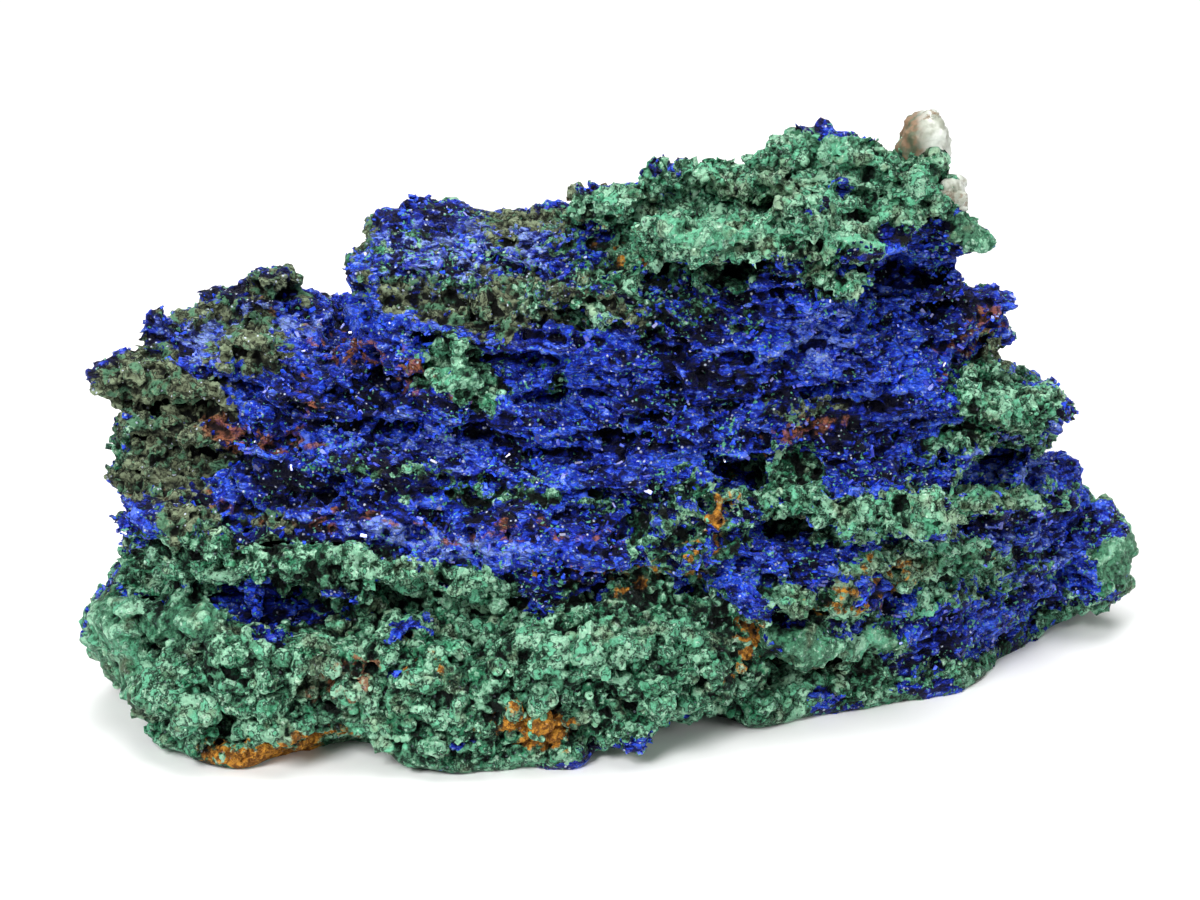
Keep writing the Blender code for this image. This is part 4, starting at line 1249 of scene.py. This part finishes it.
def scatter_tree(growth, size, spread, material, seed):
    """Tree that sets small shapes on the grown crust where their mineral shows."""
    net = GeometryNet(growth.name)
    size = net.size("Largest Size", size)
    density = net.size("Spread", spread * PER_SQUARE_METRE, "NONE")
    seed = net.size("Seed", seed)
    values = {"Mesh": net.geometry, "Density": growth.where(net) * density, "Seed": seed}
    points = net.add("GeometryNodeDistributePointsOnFaces", {"distribute_method": "RANDOM"}, values)
    if growth.lies_flat:
        turn = net.out(points, "Rotation")
    else:
        spin = {0: (0, 0, 0), 1: (math.tau, math.tau, math.tau), "Seed": seed + 1}
        turn = net.out(net.add("FunctionNodeRandomValue", {"data_type": "FLOAT_VECTOR"}, spin))
    share = {2: growth.smallest, 3: 1.0, "Seed": seed + 2}
    scale = net.out(net.add("FunctionNodeRandomValue", {"data_type": "FLOAT"}, share), 1)
    shape = growth.shape(net, size)
    values = {"Points": net.out(points), "Instance": shape, "Rotation": turn, "Scale": scale}
    net.geometry = net.out(net.add("GeometryNodeInstanceOnPoints", values=values))
    net.finish(material)
    return net


def bead_shape(net, size):
    """A flattened ball."""
    values = {"Segments": 8, "Rings": 5, "Radius": size * 0.5}
    ball = net.out(net.add("GeometryNodeMeshUVSphere", values=values))
    flat = net.add("GeometryNodeTransform", values={"Geometry": ball, "Scale": (1.0, 1.0, 0.55)})
    return net.out(net.add("GeometryNodeSetShadeSmooth", values={0: net.out(flat)}))


def blade_shape(net, size):
    """A thin block, longest upwards."""
    blade = net.joined(size * 0.3, size * 0.5, size)
    return net.out(net.add("GeometryNodeMeshCube", values={"Size": blade}))


def clustered(net, size, low):
    """1 in clusters of about this size and 0 between them and near the foot."""
    clusters = net.ramp(net.noise(net.position(), size), low, 0.6)
    return clusters * net.ramp(net.parts(net.position())[2], 0.0015, 0.0025)


def green_places(net):
    """Clusters on the green crust, left off the smooth mounds."""
    green = net.ramp(net.read("malachite"), 0.0, 1.0)
    return green * clustered(net, 0.005, 0.46) * (1 - net.read("smooth"))


def blue_places(net):
    """Clusters on the azurite ground."""
    other = net.maths("MAXIMUM", net.read("malachite"), net.read("olive"))
    return net.ramp(other, -1.0, 0.5, 1.0, 0.0) * clustered(net, 0.004, 0.42)


BEADS = Growth("malachite_beads", bead_shape, 0.3, True, green_places)
CRYSTALS = Growth("azurite_crystals", blade_shape, 0.35, False, blue_places)
# Added to the seed for the crystals, so that they don't fall as the beads do.
CRYSTAL_SEED_STEP = 7


def scatter(growth, *settings):
    """Scatter one kind of growth over the grown crust and place it as a piece."""
    tree = scatter_tree(growth, *settings)
    place_piece(growth.name, grown(bpy.data.meshes["grown_crust"], tree, growth.name))


class SPECIMEN_OT_scatter_beads(bpy.types.Operator):
    """Set round malachite beads on the green crust"""

    bl_idname = "specimen.scatter_beads"
    bl_label = "Scatter Malachite Beads"

    def execute(self, context):
        sizes = context.scene.specimen_scatter
        material = bead_material(context.scene.specimen_colours)
        scatter(BEADS, sizes.bead_diameter, sizes.bead_spread, material, sizes.seed)
        return {"FINISHED"}


class SPECIMEN_OT_scatter_crystals(bpy.types.Operator):
    """Set small glassy azurite blades on the blue ground"""

    bl_idname = "specimen.scatter_crystals"
    bl_label = "Scatter Azurite Crystals"

    def execute(self, context):
        sizes = context.scene.specimen_scatter
        material = crystal_material(context.scene.specimen_colours)
        seed = sizes.seed + CRYSTAL_SEED_STEP
        scatter(CRYSTALS, sizes.crystal_length, sizes.crystal_spread, material, seed)
        return {"FINISHED"}


def quartz_lumps(material):
    """Tree that turns a smooth ball into a lumpy, faintly faceted quartz knob."""
    net = GeometryNet("quartz_lumps")
    lump = net.size("Lump Size", 2.6 * MM)
    height = net.size("Lump Height", 0.9 * MM)
    facet = net.size("Facet Size", 1.6 * MM)
    place = net.position()
    swell = (net.noise(place, lump) - 0.5) * height * 2
    faces = tilted_blocks(net, place, facet) * height * 0.6
    net.shift(net.scaled(net.normal(), swell + faces))
    net.finish(material)
    return net


class SPECIMEN_OT_grow_quartz(bpy.types.Operator):
    """Grow the two milky quartz knobs at the cap's right corner"""

    bl_idname = "specimen.grow_quartz"
    bl_label = "Grow Quartz Knobs"

    def execute(self, context):
        tree = quartz_lumps(quartz_material(context.scene.specimen_colours))
        for name, centre, half_sizes in QUARTZ_KNOBS:
            ball = bmesh.new()
            bmesh.ops.create_icosphere(ball, subdivisions=5, radius=1.0)
            for vertex in ball.verts:
                vertex.co = [math.copysign(abs(part) ** BLUNTNESS, part) for part in vertex.co]
            bmesh.ops.scale(ball, vec=Vector(half_sizes) * MM, verts=ball.verts)
            bmesh.ops.translate(ball, vec=Vector(centre) * MM, verts=ball.verts)
            mesh = bpy.data.meshes.new(name)
            ball.to_mesh(mesh)
            ball.free()
            mesh = grown(mesh, tree, name)
            mesh.shade_smooth()
            place_piece(name, mesh)
        return {"FINISHED"}


# --- Stage ---------------------------------------------------------------------------------


def floor_material(tone):
    """Matt, faintly clouded and pale."""
    net = Finish("pale_floor")
    cloud = net.noise(net.place, 0.05)
    darker = tuple(channel * 0.97 for channel in tone[:3]) + (1.0,)
    net.set("Base Color", net.mix_colour(cloud, tone, darker))
    net.set("Roughness", 0.6)
    return net.material


def backdrop_mesh():
    """A floor that curves up into a wall behind the specimen."""
    half_width, front, bend, radius, top, steps = 2.0, -1.6, 0.9, 0.5, 1.8, 15
    turns = [math.radians(90 * step / steps) for step in range(steps + 1)]
    profile = [(front, 0.0)]
    profile += [(bend + radius * math.sin(a), radius - radius * math.cos(a)) for a in turns]
    profile.append((bend + radius, top))
    sheet = bmesh.new()
    rows = [[sheet.verts.new((x, y, z)) for x in (-half_width, half_width)] for y, z in profile]
    for (near_left, near_right), (far_left, far_right) in zip(rows, rows[1:]):
        sheet.faces.new((near_left, near_right, far_right, far_left))
    mesh = bpy.data.meshes.new("backdrop")
    sheet.to_mesh(mesh)
    sheet.free()
    mesh.shade_smooth()
    return mesh


def add_light(name, place, size, watts):
    """A square soft light aimed at the specimen."""
    light = bpy.data.lights.new(name, "AREA")
    light.size = size
    light.energy = watts
    holder = bpy.data.objects.new(name, light)
    holder.location = place
    holder.rotation_euler = (VIEW_AIM - Vector(place)).to_track_quat("-Z", "Y").to_euler()
    bpy.context.scene.collection.objects.link(holder)


class SPECIMEN_OT_lay_stage(bpy.types.Operator):
    """Lay the pale floor, the soft lights and the camera"""

    bl_idname = "specimen.lay_stage"
    bl_label = "Lay Stage"

    def execute(self, context):
        scene = context.scene
        sizes = scene.specimen_stage
        floor = bpy.data.objects.new("backdrop", backdrop_mesh())
        floor.data.materials.append(floor_material(sizes.floor))
        scene.collection.objects.link(floor)
        floor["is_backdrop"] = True
        add_light("key_light", (-0.35, -0.55, 0.60), 0.35, sizes.key_power)
        add_light("fill_light", (0.60, -0.45, 0.30), 0.45, sizes.fill_power)
        add_light("top_light", (0.05, 0.10, 0.75), 0.60, sizes.top_power)
        world = bpy.data.worlds.new("soft_room")
        world.use_nodes = True
        surroundings = world.node_tree.nodes["Background"].inputs
        surroundings["Color"].default_value = (1, 1, 1, 1)
        surroundings["Strength"].default_value = sizes.ambient
        scene.world = world
        scene.view_settings.view_transform = "Standard"
        towards = Vector(VIEW_TOWARDS)
        camera = bpy.data.objects.new("camera", bpy.data.cameras.new("camera"))
        camera.data.lens = sizes.lens
        camera.data.sensor_width = 36.0
        camera.data.clip_start = 0.01
        camera.location = VIEW_AIM + towards * VIEW_DISTANCE
        camera.rotation_euler = (-towards).to_track_quat("-Z", "Y").to_euler()
        scene.collection.objects.link(camera)
        scene.camera = camera
        return {"FINISHED"}


class SPECIMEN_PT_panel(bpy.types.Panel):
    """Sidebar panel with the specimen's pieces and sizes"""

    bl_idname = "SPECIMEN_PT_panel"
    bl_label = "Azurite Specimen"
    bl_space_type = "VIEW_3D"
    bl_region_type = "UI"
    bl_category = "Specimen"

    def draw(self, context):
        for operator in OPERATORS:
            self.layout.operator(operator.bl_idname)
        for group in GROUPS:
            settings = getattr(context.scene, group)
            box = self.layout.box()
            for name in settings.bl_rna.properties.keys():
                if name not in ("name", "rna_type"):
                    box.prop(settings, name)


GROUPS = {
    "specimen_crust": CrustSizes,
    "specimen_colours": MineralColours,
    "specimen_scatter": ScatterSizes,
    "specimen_stage": StageSizes,
}
OPERATORS = (
    SPECIMEN_OT_grow_crust,
    SPECIMEN_OT_scatter_beads,
    SPECIMEN_OT_scatter_crystals,
    SPECIMEN_OT_grow_quartz,
    SPECIMEN_OT_lay_stage,
)


def register():
    for item in (*GROUPS.values(), *OPERATORS, SPECIMEN_PT_panel):
        bpy.utils.register_class(item)
    for name, group in GROUPS.items():
        setattr(bpy.types.Scene, name, bpy.props.PointerProperty(type=group))


def unregister():
    for name in GROUPS:
        delattr(bpy.types.Scene, name)
    for item in (SPECIMEN_PT_panel, *reversed(OPERATORS), *GROUPS.values()):
        bpy.utils.unregister_class(item)


def main():
    register()
    bpy.ops.specimen.grow_crust()
    bpy.ops.specimen.scatter_beads()
    bpy.ops.specimen.scatter_crystals()
    bpy.ops.specimen.grow_quartz()
    bpy.ops.specimen.lay_stage()
    bpy.data.meshes.remove(bpy.data.meshes["grown_crust"])
    bpy.context.view_layer.update()
    boxes = {"solid": SOLID_BOX, "visual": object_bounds()}
    boxes = {name: [list(corner) for corner in box] for name, box in boxes.items()}


if __name__ == "__main__":
    main()
